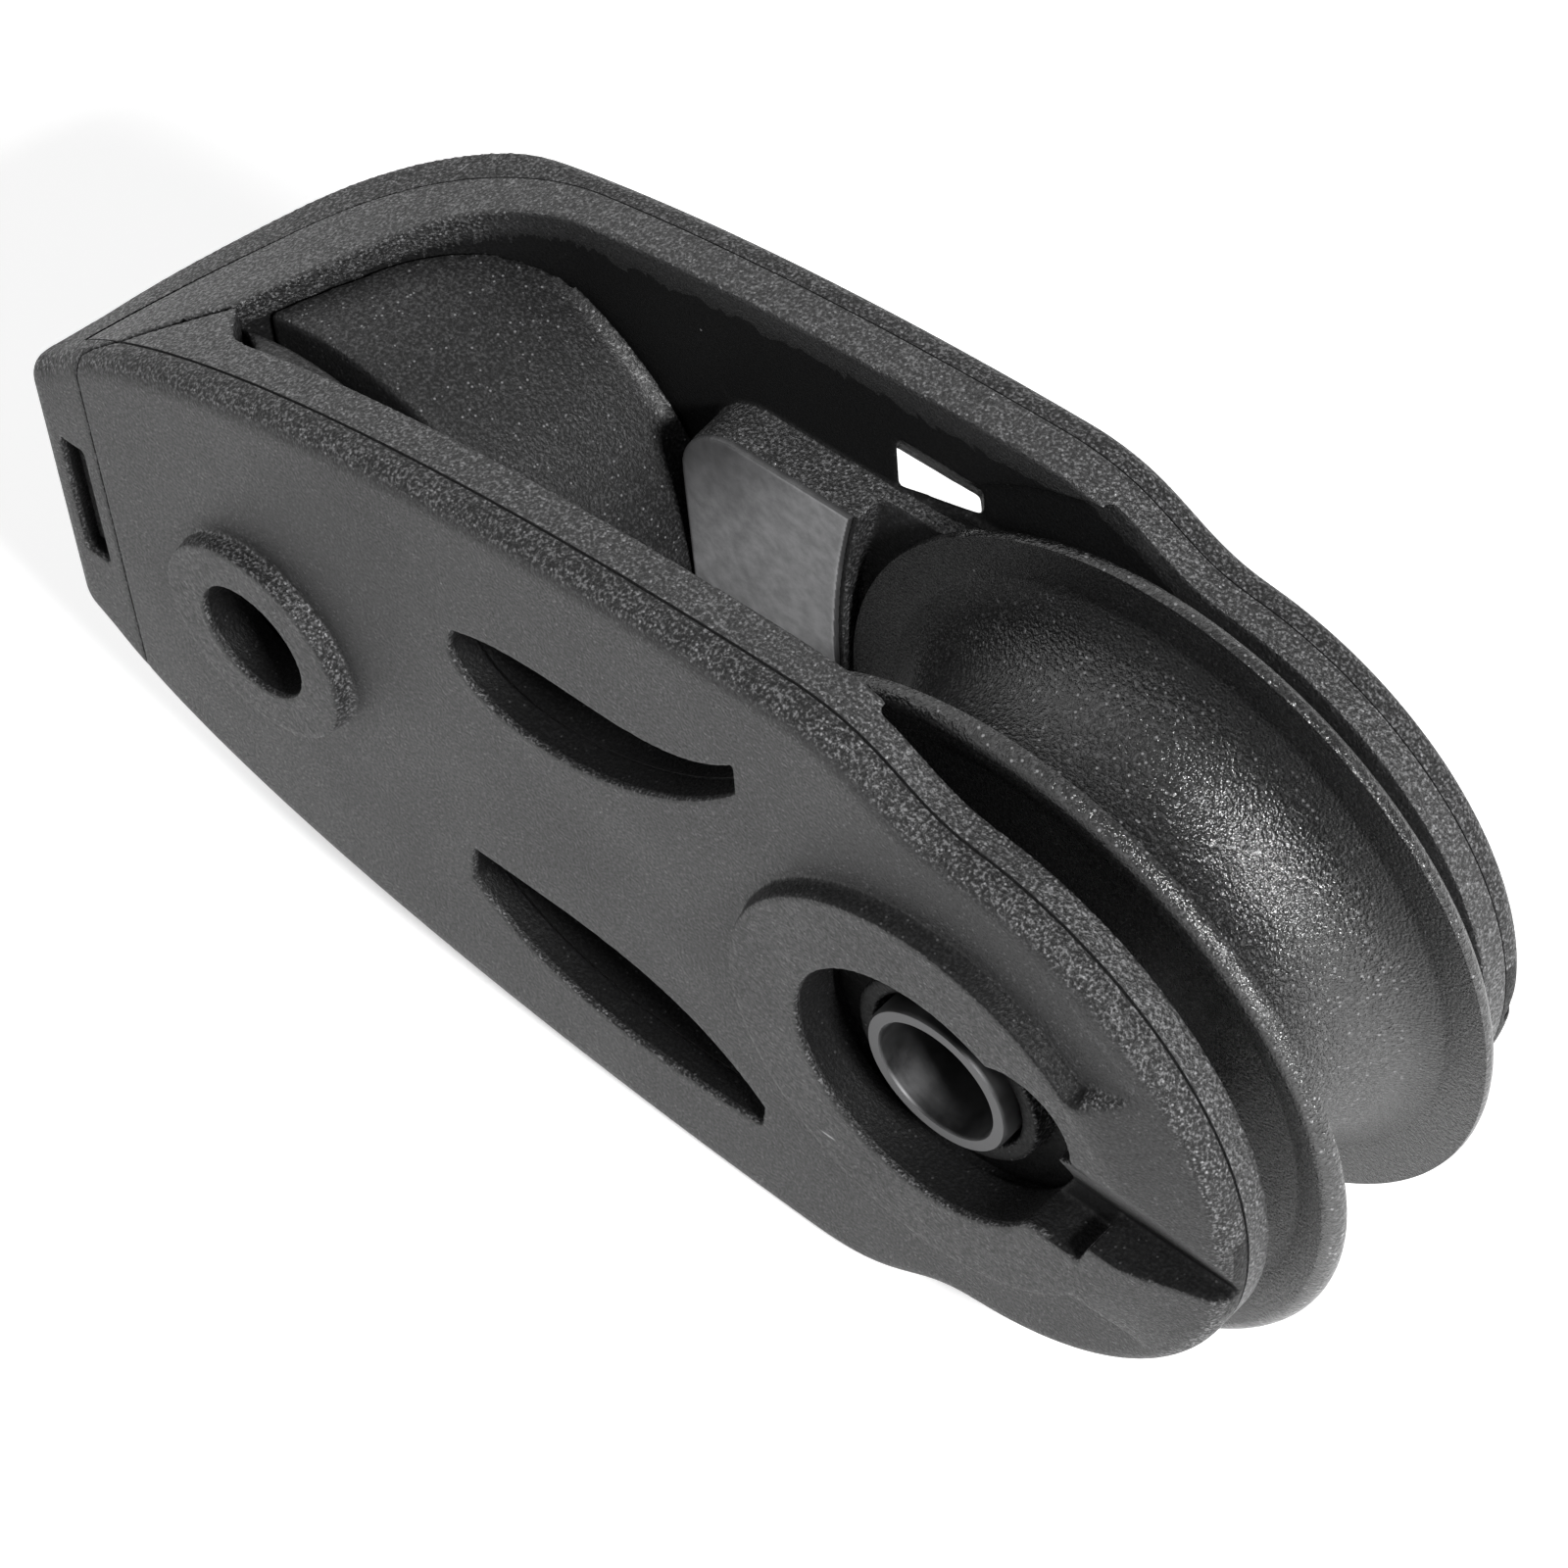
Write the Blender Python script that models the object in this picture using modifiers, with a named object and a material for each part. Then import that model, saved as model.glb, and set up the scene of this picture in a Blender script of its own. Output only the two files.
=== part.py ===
"""Single sheave block: a grooved wheel on a roller bearing and a hollow axle, between two layered cheeks.

The far cheek runs round the tail, where a drum in two halves carries the tail bolt. The nose is at +X, the
axle lies along Y, and the rope enters from +Z and leaves by -Z. Lengths below are in millimetres.
"""

import math

import bmesh
import bpy
from mathutils import Matrix, Vector

MM = 0.001
GAP = 0.3
SEAM = 0.12

# Wheel and bearing
SHEAVE_RADIUS = 22.5
SHEAVE_HALF_WIDTH = 7.1
GROOVE_RADIUS = 6.2
GROOVE_CENTRE = 21.2
AXLE_RADIUS = 4.9
AXLE_BORE = 3.95
AXLE_HALF_LENGTH = 12.8
ROLLER_COUNT = 12
ROLLER_RADIUS = 1.2
ROLLER_PITCH = 7.55
ROLLER_HALF_LENGTH = 5.0
OUTER_RING_RADII = (10.4, 9.05)
OUTER_RING_HALF = 6.6
INNER_SLEEVE_RADII = (6.05, 5.2)
INNER_SLEEVE_HALF = 7.0
CAGE_RADII = (8.1, 7.0)
CAGE_HALF = 6.4

# Widths across the block, each measured from the middle
INNER_HALF = 8.5
SEAM_HALF = 11.0
OUTER_HALF = 13.0
BOSS_HALF = 14.3

# Side view, measured from the axle
TAIL_X = -70.0
NOSE_RADIUS = 19.9
HALF_HEIGHT = 24.0
TAIL_BOLT_X = -51.3
TAIL_BOLT_RADIUS = 4.0
SLEEVE_RADIUS = 5.2
SLEEVE_HALF_LENGTH = 10.7
DRUM_RADIUS = 16.9
AXLE_BOSS_RADIUS = 14.0
TAIL_BOSS_RADIUS = 7.1
RECESS_RADIUS = 8.8
RECESS_LOBE_RADIUS = 3.6
RECESS_LOBE_PLACE = (7.0, 4.2)
HUB_HOLE_RADIUS = 9.7
RELIEF_RADIUS = 23.9
RELIEF_HALF = 9.2
RIM_ROUND = 1.1

# Rope guides between the drum and the wheel
GUIDE_LEFT = -34.3
GUIDE_END = -22.9
GUIDE_HALF_HEIGHT = 14.9
GUIDE_CORNER = 4.6
GUIDE_HOLLOW_RADIUS = 55.0
CREST_HALF = 6.2
PAD_HALF = 5.2
BED_END = -12.6
BED_HALF = 7.45

# The drum's two halves and the slit between them
NEAR_DRUM_END = -6.0
FAR_DRUM_END = -4.6

# Hub collars and washers, as radii and as distances from the middle
COLLAR_BORE = 5.2
COLLAR_SLEEVE_RADIUS = 6.3
COLLAR_FLANGE_RADIUS = 9.4
COLLAR_SPAN = (8.9, 10.3, 11.9)
WASHER_RADIUS = 9.2
WASHER_SPAN = (7.3, 8.5)

# The slot in the tail strip and the toothed tongue in it
SLOT_SIZE = (2.1, 4.6, 9.8)
SLOT_PLACE = (-66.9, 0.5)
TONGUE_TEETH = 6

# Plan view: the tail wall slants back from the near corner, then turns into the far cheek
TAIL_SLANT = math.radians(27.0)
NEAR_COVER_END = -64.6

BLACK_NYLON = ((0.055, 0.055, 0.057, 1.0), 0.62, 0.0)
SHEAVE_PLASTIC = ((0.035, 0.035, 0.036, 1.0), 0.42, 0.0)
GUIDE_PLASTIC = ((0.075, 0.075, 0.078, 1.0), 0.35, 0.0)
STAINLESS = ((0.42, 0.42, 0.43, 1.0), 0.3, 1.0)
ACETAL = ((0.62, 0.62, 0.60, 1.0), 0.4, 0.0)


def clear_scene():
    for item in list(bpy.data.objects):
        bpy.data.objects.remove(item, do_unlink=True)


def new_collection(name):
    collection = bpy.data.collections.new(name)
    bpy.context.scene.collection.children.link(collection)
    return collection


def make_material(name, colour, roughness, metallic):
    material = bpy.data.materials.new(name)
    material.use_nodes = True
    shader = material.node_tree.nodes["Principled BSDF"]
    shader.inputs["Base Color"].default_value = colour
    shader.inputs["Roughness"].default_value = roughness
    shader.inputs["Metallic"].default_value = metallic
    return material


def arc(centre, radius, start, end, count):
    """Points of an arc, with angles in degrees from +X towards the second axis."""
    points = []
    for step in range(count + 1):
        angle = math.radians(start + (end - start) * step / count)
        points.append((centre[0] + radius * math.cos(angle), centre[1] + radius * math.sin(angle)))
    return points


def bezier(start, leave, arrive, end, count):
    points = []
    for step in range(count + 1):
        t = step / count
        weights = ((1 - t) ** 3, 3 * t * (1 - t) ** 2, 3 * t * t * (1 - t), t**3)
        points.append(
            tuple(
                sum(weight * point[axis] for weight, point in zip(weights, (start, leave, arrive, end)))
                for axis in (0, 1)
            )
        )
    return points


def mirrored(points):
    """The outline below the middle line, joined to the one above it."""
    return points + [(x, -z) for x, z in reversed(points) if abs(z) > 1e-6]


class Block:
    """The object's own collection, its cutters, and the empty on the axle that every piece hangs from."""

    def __init__(self):
        clear_scene()
        self.pieces = new_collection("single_sheave_block")
        self.cutters = new_collection("cutters")
        self.axle = bpy.data.objects.new("axle_axis", None)
        centre_x = (TAIL_X + SHEAVE_RADIUS) / 2
        self.axle.location = (-centre_x * MM, 0.0, HALF_HEIGHT * MM)
        self.pieces.objects.link(self.axle)

    def add(self, item, material=None):
        """Puts a finished piece in the assembly, or a cutter among the cutters when it has no material."""
        if material is None:
            self.cutters.objects.link(item)
            item.hide_render = True
            item.display_type = "WIRE"
        else:
            self.pieces.objects.link(item)
            item.data.materials.clear()
            item.data.materials.append(material)
        item.parent = self.axle
        return item

    def boolean(self, item, other, operation):
        modifier = item.modifiers.new(other.name, "BOOLEAN")
        modifier.solver = "EXACT"
        modifier.operation = operation
        modifier.object = other


def object_from(name, mesh_tools):
    """Makes an object of the mesh, with the faces of a solid turned outwards."""
    if mesh_tools.faces and mesh_tools.calc_volume(signed=True) < 0:
        bmesh.ops.reverse_faces(mesh_tools, faces=mesh_tools.faces)
    mesh = bpy.data.meshes.new(name)
    mesh_tools.to_mesh(mesh)
    mesh_tools.free()
    return bpy.data.objects.new(name, mesh)


def flat_plate(name, outline, low, high):
    """An outline in its own XY plane, extruded from low to high along Z, as a closed mesh."""
    curve = bpy.data.curves.new(name, "CURVE")
    curve.dimensions = "2D"
    curve.fill_mode = "BOTH"
    curve.extrude = (high - low) / 2 * MM
    spline = curve.splines.new("POLY")
    spline.points.add(len(outline) - 1)
    for point, (x, y) in zip(spline.points, outline):
        point.co = (x * MM, y * MM, 0.0, 1.0)
    spline.use_cyclic_u = True
    guide = bpy.data.objects.new(name + "_outline", curve)
    bpy.context.scene.collection.objects.link(guide)
    bpy.context.view_layer.update()
    graph = bpy.context.evaluated_depsgraph_get()
    mesh = bpy.data.meshes.new_from_object(guide.evaluated_get(graph))
    bpy.data.objects.remove(guide, do_unlink=True)
    tools = bmesh.new()
    tools.from_mesh(mesh)
    bpy.data.meshes.remove(mesh)
    bmesh.ops.remove_doubles(tools, verts=tools.verts, dist=1e-6)
    bmesh.ops.translate(tools, verts=tools.verts, vec=(0.0, 0.0, (high + low) / 2 * MM))
    bmesh.ops.recalc_face_normals(tools, faces=tools.faces)
    return tools


def plan_layer(name, outline):
    """A wall drawn in plan, as tall as the block."""
    return object_from(name, flat_plate(name, outline, -HALF_HEIGHT - 2, HALF_HEIGHT + 2))


def side_tools(name, outline, low, high):
    """An outline in the side view (X, Z), from low to high along Y."""
    tools = flat_plate(name, outline, -high, -low)
    bmesh.ops.rotate(tools, verts=tools.verts, cent=(0, 0, 0), matrix=Matrix.Rotation(math.pi / 2, 3, "X"))
    return tools


def side_plate(name, outline, low, high):
    return object_from(name, side_tools(name, outline, low, high))


def disc(name, radius, low, high, centre=(0.0, 0.0), segments=48):
    """A round bar along Y."""
    tools = bmesh.new()
    bmesh.ops.create_cone(
        tools,
        cap_ends=True,
        segments=segments,
        radius1=radius * MM,
        radius2=radius * MM,
        depth=(high - low) * MM,
        matrix=Matrix.Rotation(-math.pi / 2, 4, "X"),
    )
    shift = (centre[0] * MM, (high + low) / 2 * MM, centre[1] * MM)
    bmesh.ops.translate(tools, verts=tools.verts, vec=shift)
    bmesh.ops.recalc_face_normals(tools, faces=tools.faces)
    return object_from(name, tools)


def turned(name, profile, steps, centre_x=0.0):
    """A closed profile of (radius, y), turned about an axis along Y."""
    tools = bmesh.new()
    corners = [tools.verts.new((radius * MM, 0.0, y * MM)) for radius, y in profile]
    for first, second in zip(corners, corners[1:] + corners[:1]):
        tools.edges.new((first, second))
    item = object_from(name, tools)
    screw = item.modifiers.new("turn", "SCREW")
    screw.axis = "Z"
    screw.steps = steps
    screw.render_steps = steps
    screw.use_merge_vertices = True
    screw.merge_threshold = 0.00001
    screw.use_smooth_shade = True
    item.rotation_euler = (-math.pi / 2, 0.0, 0.0)
    item.location = (centre_x * MM, 0.0, 0.0)
    return item


def ring_profile(outer, inner, low, high):
    """A square ring: down the outer side, then up the inner one."""
    return [(outer, high), (outer, low), (inner, low), (inner, high)]


def smooth_edges(item, degrees=35):
    """Shades the round sides smooth and keeps the real edges sharp."""
    for face in item.data.polygons:
        face.use_smooth = True
    item.data.set_sharp_from_angle(angle=math.radians(degrees))


# Outlines ---------------------------------------------------------------------------------------------


def cheek_outline():
    """The side view: a blunt tail, a long swelling back, then a step down to the round nose."""
    tail = arc((TAIL_X + 2.2, 9.0), 2.2, 180, 118, 3)
    back = bezier((-67.5, 11.9), (-58.5, 19.8), (-33.7, HALF_HEIGHT), (-9.6, HALF_HEIGHT), 18)
    step = bezier((-9.6, HALF_HEIGHT), (-3.4, 23.8), (-2.6, 20.3), (2.25, 19.78), 8)
    nose = arc((0.0, 0.0), NOSE_RADIUS, 82, 0, 14)
    return mirrored(tail + back + step[1:] + nose[1:])


def slanted_wall(near_x, near_y, far_y, turn_radius, count=8):
    """A line that leaves (near_x, near_y) along the slanted tail and turns into the far cheek at far_y."""
    start_y = far_y - turn_radius * (1 - math.sin(TAIL_SLANT))
    start_x = near_x + (start_y - near_y) * math.tan(TAIL_SLANT)
    centre = (start_x + turn_radius * math.cos(TAIL_SLANT), far_y - turn_radius)
    first = 180 - math.degrees(TAIL_SLANT)
    return [(near_x, near_y)] + arc(centre, turn_radius, first, 90, count)


OUTER_TAIL = slanted_wall(TAIL_X - 0.2, -OUTER_HALF, OUTER_HALF, 18.0)
SEAM_TAIL = slanted_wall(-65.9, -SEAM_HALF, SEAM_HALF, 16.9)
INNER_TAIL = slanted_wall(-57.6, -5.9, INNER_HALF, 11.3)
NOSE_END = NOSE_RADIUS + 1


def shifted(points, dx, dy):
    return [(x + dx, y + dy) for x, y in points]


def far_cover_plan():
    outer = OUTER_TAIL + [(NOSE_END, OUTER_HALF), (NOSE_END, SEAM_HALF + SEAM)]
    inner = shifted(SEAM_TAIL, -SEAM, SEAM)
    lip = [(NEAR_COVER_END - SEAM, -SEAM_HALF), (NEAR_COVER_END - SEAM, -OUTER_HALF)]
    return outer + list(reversed(inner))[:-1] + [(-66.0, -SEAM_HALF)] + lip


def far_frame_plan():
    outer = [(-65.6, -SEAM_HALF + SEAM)] + SEAM_TAIL[1:] + [(NOSE_END, SEAM_HALF)]
    inner = [(NOSE_END, INNER_HALF)] + list(reversed(INNER_TAIL))
    return outer + inner + [(-62.6, -SEAM_HALF + SEAM)]


def near_cover_plan():
    return [
        (NEAR_COVER_END, -OUTER_HALF),
        (NOSE_END, -OUTER_HALF),
        (NOSE_END, -SEAM_HALF - SEAM),
        (NEAR_COVER_END, -SEAM_HALF - SEAM),
    ]


def near_frame_plan():
    """The inner layer, whose tail end is a triangle that fills the corner beside the slanted wall."""
    corner = bezier((-57.3, -6.1), (-55.4, -8.2), (-55.3, -8.5), (-53.5, -INNER_HALF), 4)
    return [
        (-62.4, -SEAM_HALF + SEAM),
        *corner,
        (NOSE_END, -INNER_HALF),
        (NOSE_END, -SEAM_HALF + SEAM),
    ]


def cavity_plan():
    """The space inside the tail, a gap away from every wall."""
    wall = [(x + GAP, y) for x, y in slanted_wall(-57.6, -5.9, INNER_HALF - GAP, 11.0)]
    return wall + [(0.0, INNER_HALF - GAP), (0.0, -INNER_HALF + GAP), (-53.2, -INNER_HALF + GAP)]


def guide_outline(inset):
    """The rope guide between the drum and the wheel, slightly hollowed on the wheel's side."""
    half = GUIDE_HALF_HEIGHT - inset
    centre = GUIDE_END - inset + GUIDE_HOLLOW_RADIUS
    reach = math.degrees(math.asin(half / GUIDE_HOLLOW_RADIUS))
    hollow = arc((centre, 0.0), GUIDE_HOLLOW_RADIUS, 180 - reach, 180 + reach, 6)
    left = GUIDE_LEFT + inset
    lower = arc((left + GUIDE_CORNER, -half + GUIDE_CORNER), GUIDE_CORNER, 270, 180, 4)
    upper = arc((left + GUIDE_CORNER, half - GUIDE_CORNER), GUIDE_CORNER, 180, 90, 4)
    return hollow + lower + upper


def bed_outline():
    """The thin bed under the guide, which reaches on beside the wheel."""
    half = GUIDE_HALF_HEIGHT
    left = GUIDE_LEFT
    lower = arc((left + GUIDE_CORNER, -half + GUIDE_CORNER), GUIDE_CORNER, 270, 180, 4)
    upper = arc((left + GUIDE_CORNER, half - GUIDE_CORNER), GUIDE_CORNER, 180, 90, 4)
    return [(BED_END, half), (BED_END, -half)] + lower + upper


# Cutters ----------------------------------------------------------------------------------------------


def scoop(name, outline, side, shallow_line, slope):
    """A hollow in a cheek's face. Its floor rises from the lower edge to the face along shallow_line."""
    tools = side_tools(name, outline, 0.0, 1.0)
    (x0, z0), (x1, z1) = shallow_line
    for corner in tools.verts:
        x, z = corner.co.x / MM, corner.co.z / MM
        rise = z0 + (z1 - z0) * (x - x0) / (x1 - x0)
        inside = corner.co.y > 0.5 * MM
        floor = OUTER_HALF - max(0.4, (rise - z) * slope)
        corner.co.y = side * (BOSS_HALF + 1 if inside else floor) * MM
    bmesh.ops.recalc_face_normals(tools, faces=tools.faces)
    return object_from(name, tools)


def upper_scoop_outline():
    lower = bezier((-34.9, 10.2), (-33.5, 4.6), (-21.0, 5.6), (-13.1, 14.3), 8)
    upper = bezier((-13.0, 16.4), (-18.0, 12.0), (-24.0, 14.2), (-33.6, 12.6), 8)
    return lower + upper


def lower_scoop_outline():
    lower = bezier((-36.2, -11.2), (-32.0, -16.4), (-24.0, -17.4), (-13.8, -16.2), 8)
    upper = bezier((-13.5, -15.0), (-16.5, -8.6), (-24.5, -7.6), (-34.8, -7.8), 8)
    return lower + upper


def window(name, side):
    """The slanted opening that joins the end of the upper scoop to the space beside the wheel."""
    outer_half = OUTER_HALF - 0.4
    inner_half = INNER_HALF - 2.0
    tools = bmesh.new()
    bmesh.ops.create_cube(tools, size=2 * MM)
    for corner in tools.verts:
        outside = corner.co.y > 0
        low, high = (8.6, 12.4) if outside else (18.7, 22.6)
        left, right = (-24.5, -18.0) if outside else (-18.1, -11.9)
        corner.co.x = (left if corner.co.x < 0 else right) * MM
        corner.co.z = (low if corner.co.z < 0 else high) * MM
        corner.co.y = side * (outer_half if outside else inner_half) * MM
    bmesh.ops.recalc_face_normals(tools, faces=tools.faces)
    return object_from(name, tools)


def channel_outline():
    """The way from the recess to the nose, with one small tooth in its lower edge."""
    lower = [(4.0, -5.2), (8.4, -4.7), (11.0, -5.0), (11.6, -3.2), (22.0, -2.7)]
    upper = [(22.0, 1.4), (4.0, -0.4)]
    return lower + upper


def tail_slot():
    tools = bmesh.new()
    bmesh.ops.create_cube(tools, size=1.0)
    bmesh.ops.scale(tools, verts=tools.verts, vec=[length * MM for length in SLOT_SIZE])
    place = (SLOT_PLACE[0] * MM, -OUTER_HALF * MM, SLOT_PLACE[1] * MM)
    bmesh.ops.translate(tools, verts=tools.verts, vec=place)
    return object_from("tail_slot", tools)


# Assembly ---------------------------------------------------------------------------------------------


class Cheeks:
    """The four layers of the two cheeks, and what is cut through them."""

    def __init__(self, block, material):
        self.block = block
        self.material = material
        self.profile = block.add(self.profile_prism())

    def profile_prism(self):
        tools = side_tools("side_profile", cheek_outline(), -OUTER_HALF, OUTER_HALF)
        rims = [
            edge
            for edge in tools.edges
            if all(abs(abs(end.co.y) - OUTER_HALF * MM) < 1e-6 for end in edge.verts)
            and len(edge.link_faces) == 2
            and any(abs(face.normal.y) < 0.5 for face in edge.link_faces)
        ]
        bmesh.ops.bevel(
            tools, geom=rims, offset=RIM_ROUND * MM, segments=2, profile=0.5, affect="EDGES", clamp_overlap=True
        )
        return object_from("side_profile", tools)

    def layer(self, name, plan):
        item = self.block.add(plan_layer(name, plan), self.material)
        self.block.boolean(item, self.profile, "INTERSECT")
        return item

    def join(self, item, other):
        self.block.boolean(item, self.block.add(other), "UNION")

    def cut(self, item, other):
        self.block.boolean(item, self.block.add(other), "DIFFERENCE")

    def cut_disc(self, item, label, radius, low, high, centre=(0.0, 0.0), segments=40):
        low, high = sorted((low, high))
        self.cut(item, disc(f"{item.name}_{label}", radius, low, high, centre, segments))

    def cover(self, name, plan, side):
        item = self.layer(name, plan)
        tail = (TAIL_BOLT_X, 0.0)
        low, high = sorted((side * (OUTER_HALF - 1), side * BOSS_HALF))
        self.join(item, disc(name + "_axle_boss", AXLE_BOSS_RADIUS, low, high, segments=56))
        self.join(item, disc(name + "_tail_boss", TAIL_BOSS_RADIUS, low, high, tail, 40))
        inside, outside = side * (SEAM_HALF - 1), side * (BOSS_HALF + 1)
        self.cut_disc(item, "recess", RECESS_RADIUS, inside, outside)
        self.cut_disc(item, "recess_lobe", RECESS_LOBE_RADIUS, inside, outside, RECESS_LOBE_PLACE, 24)
        self.cut_disc(item, "bolt_hole", TAIL_BOLT_RADIUS, inside, outside, tail, 32)
        self.cut_disc(item, "sleeve_hole", SLEEVE_RADIUS + GAP, 0.0, side * SEAM_HALF, tail, 32)
        self.cut_scoops(item, side)
        channel = scoop(name + "_channel", channel_outline(), side, ((0.0, 0.2), (20.0, 1.2)), 0.35)
        self.cut(item, channel)
        return item

    def cut_scoops(self, item, side):
        upper_crest = ((-34.0, 13.4), (-13.0, 18.6))
        lower_crest = ((-34.0, -7.2), (-13.0, -11.4))
        self.cut(item, scoop(item.name + "_upper_scoop", upper_scoop_outline(), side, upper_crest, 0.42))
        self.cut(item, scoop(item.name + "_lower_scoop", lower_scoop_outline(), side, lower_crest, 0.32))
        self.cut(item, window(item.name + "_window", side))

    def frame(self, name, plan, side):
        item = self.layer(name, plan)
        wall = side * (INNER_HALF + 1)
        self.cut_disc(item, "wheel_relief", RELIEF_RADIUS, 0.0, side * RELIEF_HALF, segments=64)
        self.join(item, self.raised(name + "_guide_bed", bed_outline(), wall, side * BED_HALF))
        self.join(item, self.raised(name + "_guide_crest", guide_outline(0.0), wall, side * CREST_HALF))
        self.cut_disc(item, "hub_hole", HUB_HOLE_RADIUS, side * (INNER_HALF - 1), side * (SEAM_HALF + 1))
        self.cut_disc(
            item, "sleeve_hole", SLEEVE_RADIUS + GAP, -SEAM_HALF - 1, SEAM_HALF + 1, (TAIL_BOLT_X, 0.0), 32
        )
        self.cut_scoops(item, side)
        return item

    def raised(self, name, outline, wall, crest):
        """A raised part of the inner wall, a little lower at its crest than at the wall."""
        tools = side_tools(name, outline, min(wall, crest), max(wall, crest))
        for corner in tools.verts:
            if abs(corner.co.y - crest * MM) < 1e-7:
                corner.co.z *= 0.97
        return object_from(name, tools)


def add_cheeks(block, nylon):
    cheeks = Cheeks(block, nylon)
    cheeks.cover("near_cheek_cover", near_cover_plan(), -1)
    far_cover = cheeks.cover("far_cheek_cover", far_cover_plan(), 1)
    cheeks.cut(far_cover, tail_slot())
    cheeks.frame("near_cheek_frame", near_frame_plan(), -1)
    cheeks.frame("far_cheek_frame", far_frame_plan(), 1)


def add_drums(block, nylon):
    """The drum about the tail bolt, in two halves with a slit between them."""
    cavity = block.add(plan_layer("tail_cavity", cavity_plan()))
    halves = {"near_tail_drum": (-INNER_HALF + GAP, NEAR_DRUM_END), "far_tail_drum": (FAR_DRUM_END, INNER_HALF)}
    tail = (TAIL_BOLT_X, 0.0)
    for name, (low, high) in halves.items():
        half = block.add(disc(name, DRUM_RADIUS, low, high, tail, 64), nylon)
        block.boolean(half, cavity, "INTERSECT")
        bore = block.add(disc(name + "_bore", SLEEVE_RADIUS + GAP, low - 1, high + 1, tail, 32))
        block.boolean(half, bore, "DIFFERENCE")


def add_guides(block, plastic):
    """The two guide pads, each a seam's width off the crest that it sits on."""
    for name, side in (("near_guide_pad", -1), ("far_guide_pad", 1)):
        low, high = sorted((side * (CREST_HALF - SEAM), side * PAD_HALF))
        block.add(side_plate(name, guide_outline(GAP), low, high), plastic)


def sheave_profile():
    """Down the outer side: one lip, the rope groove, the other lip, then the web and the bore."""
    lip = SHEAVE_HALF_WIDTH - 0.85
    top_lip = arc((SHEAVE_RADIUS - 0.85, lip), 0.85, 90, -20, 3)
    groove = arc((GROOVE_CENTRE, 0.0), GROOVE_RADIUS, 104, 256, 12)
    bottom_lip = [(radius, -y) for radius, y in reversed(top_lip)]
    web = [(19.5, -6.2), (12.4, -6.2), (11.9, -6.9), (10.7, -6.9)]
    return top_lip + groove + bottom_lip + web + [(radius, -y) for radius, y in reversed(web)]


def add_wheel(block, plastic, steel, acetal):
    block.add(turned("sheave", sheave_profile(), 64), plastic)
    outer_ring = ring_profile(*OUTER_RING_RADII, -OUTER_RING_HALF, OUTER_RING_HALF)
    inner_sleeve = ring_profile(*INNER_SLEEVE_RADII, -INNER_SLEEVE_HALF, INNER_SLEEVE_HALF)
    cage_ring = ring_profile(*CAGE_RADII, -CAGE_HALF, CAGE_HALF)
    block.add(turned("bearing_outer_ring", outer_ring, 36), steel)
    block.add(turned("bearing_inner_sleeve", inner_sleeve, 36), steel)
    cage = block.add(turned("roller_cage", cage_ring, 36), acetal)
    pockets = bmesh.new()
    roller_mesh = disc("bearing_roller", ROLLER_RADIUS, -ROLLER_HALF_LENGTH, ROLLER_HALF_LENGTH, segments=12).data
    size = Vector((3.0 * MM, 2 * (ROLLER_HALF_LENGTH + GAP) * MM, 2 * (ROLLER_RADIUS + GAP) * MM))
    for index in range(ROLLER_COUNT):
        turn = Matrix.Rotation(2 * math.pi * index / ROLLER_COUNT, 4, "Y")
        place = turn @ Matrix.Translation((ROLLER_PITCH * MM, 0.0, 0.0))
        bmesh.ops.create_cube(pockets, size=1.0, matrix=place @ Matrix.Diagonal((*size, 1.0)))
        roller = block.add(bpy.data.objects.new(f"bearing_roller_{index + 1:02d}", roller_mesh), steel)
        roller.location = place.to_translation()
    block.boolean(cage, block.add(object_from("cage_pockets", pockets)), "DIFFERENCE")


def collar_profile(side):
    """A flanged collar: a wide disc behind the cheek's recess and a sleeve round the axle's end."""
    flange, shoulder, end = COLLAR_SPAN
    sleeve = [(COLLAR_SLEEVE_RADIUS, end), (COLLAR_SLEEVE_RADIUS, shoulder)]
    disc_part = [(COLLAR_FLANGE_RADIUS, shoulder), (COLLAR_FLANGE_RADIUS, flange)]
    outline = sleeve + disc_part + [(COLLAR_BORE, flange), (COLLAR_BORE, end)]
    if side > 0:
        return outline
    return [(radius, -y) for radius, y in reversed(outline)]


def add_axle(block, nylon, steel, acetal):
    tube = ring_profile(AXLE_RADIUS, AXLE_BORE, -AXLE_HALF_LENGTH, AXLE_HALF_LENGTH)
    block.add(turned("hollow_axle", tube, 36), steel)
    for name, side in (("near", -1), ("far", 1)):
        block.add(turned(name + "_hub_collar", collar_profile(side), 36), nylon)
        low, high = sorted(side * end for end in WASHER_SPAN)
        washer = ring_profile(WASHER_RADIUS, COLLAR_BORE, low, high)
        block.add(turned(name + "_thrust_washer", washer, 36), acetal)
    sleeve = ring_profile(SLEEVE_RADIUS, TAIL_BOLT_RADIUS + 0.05, -SLEEVE_HALF_LENGTH, SLEEVE_HALF_LENGTH)
    block.add(turned("tail_bolt_sleeve", sleeve, 40, TAIL_BOLT_X), steel)


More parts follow.
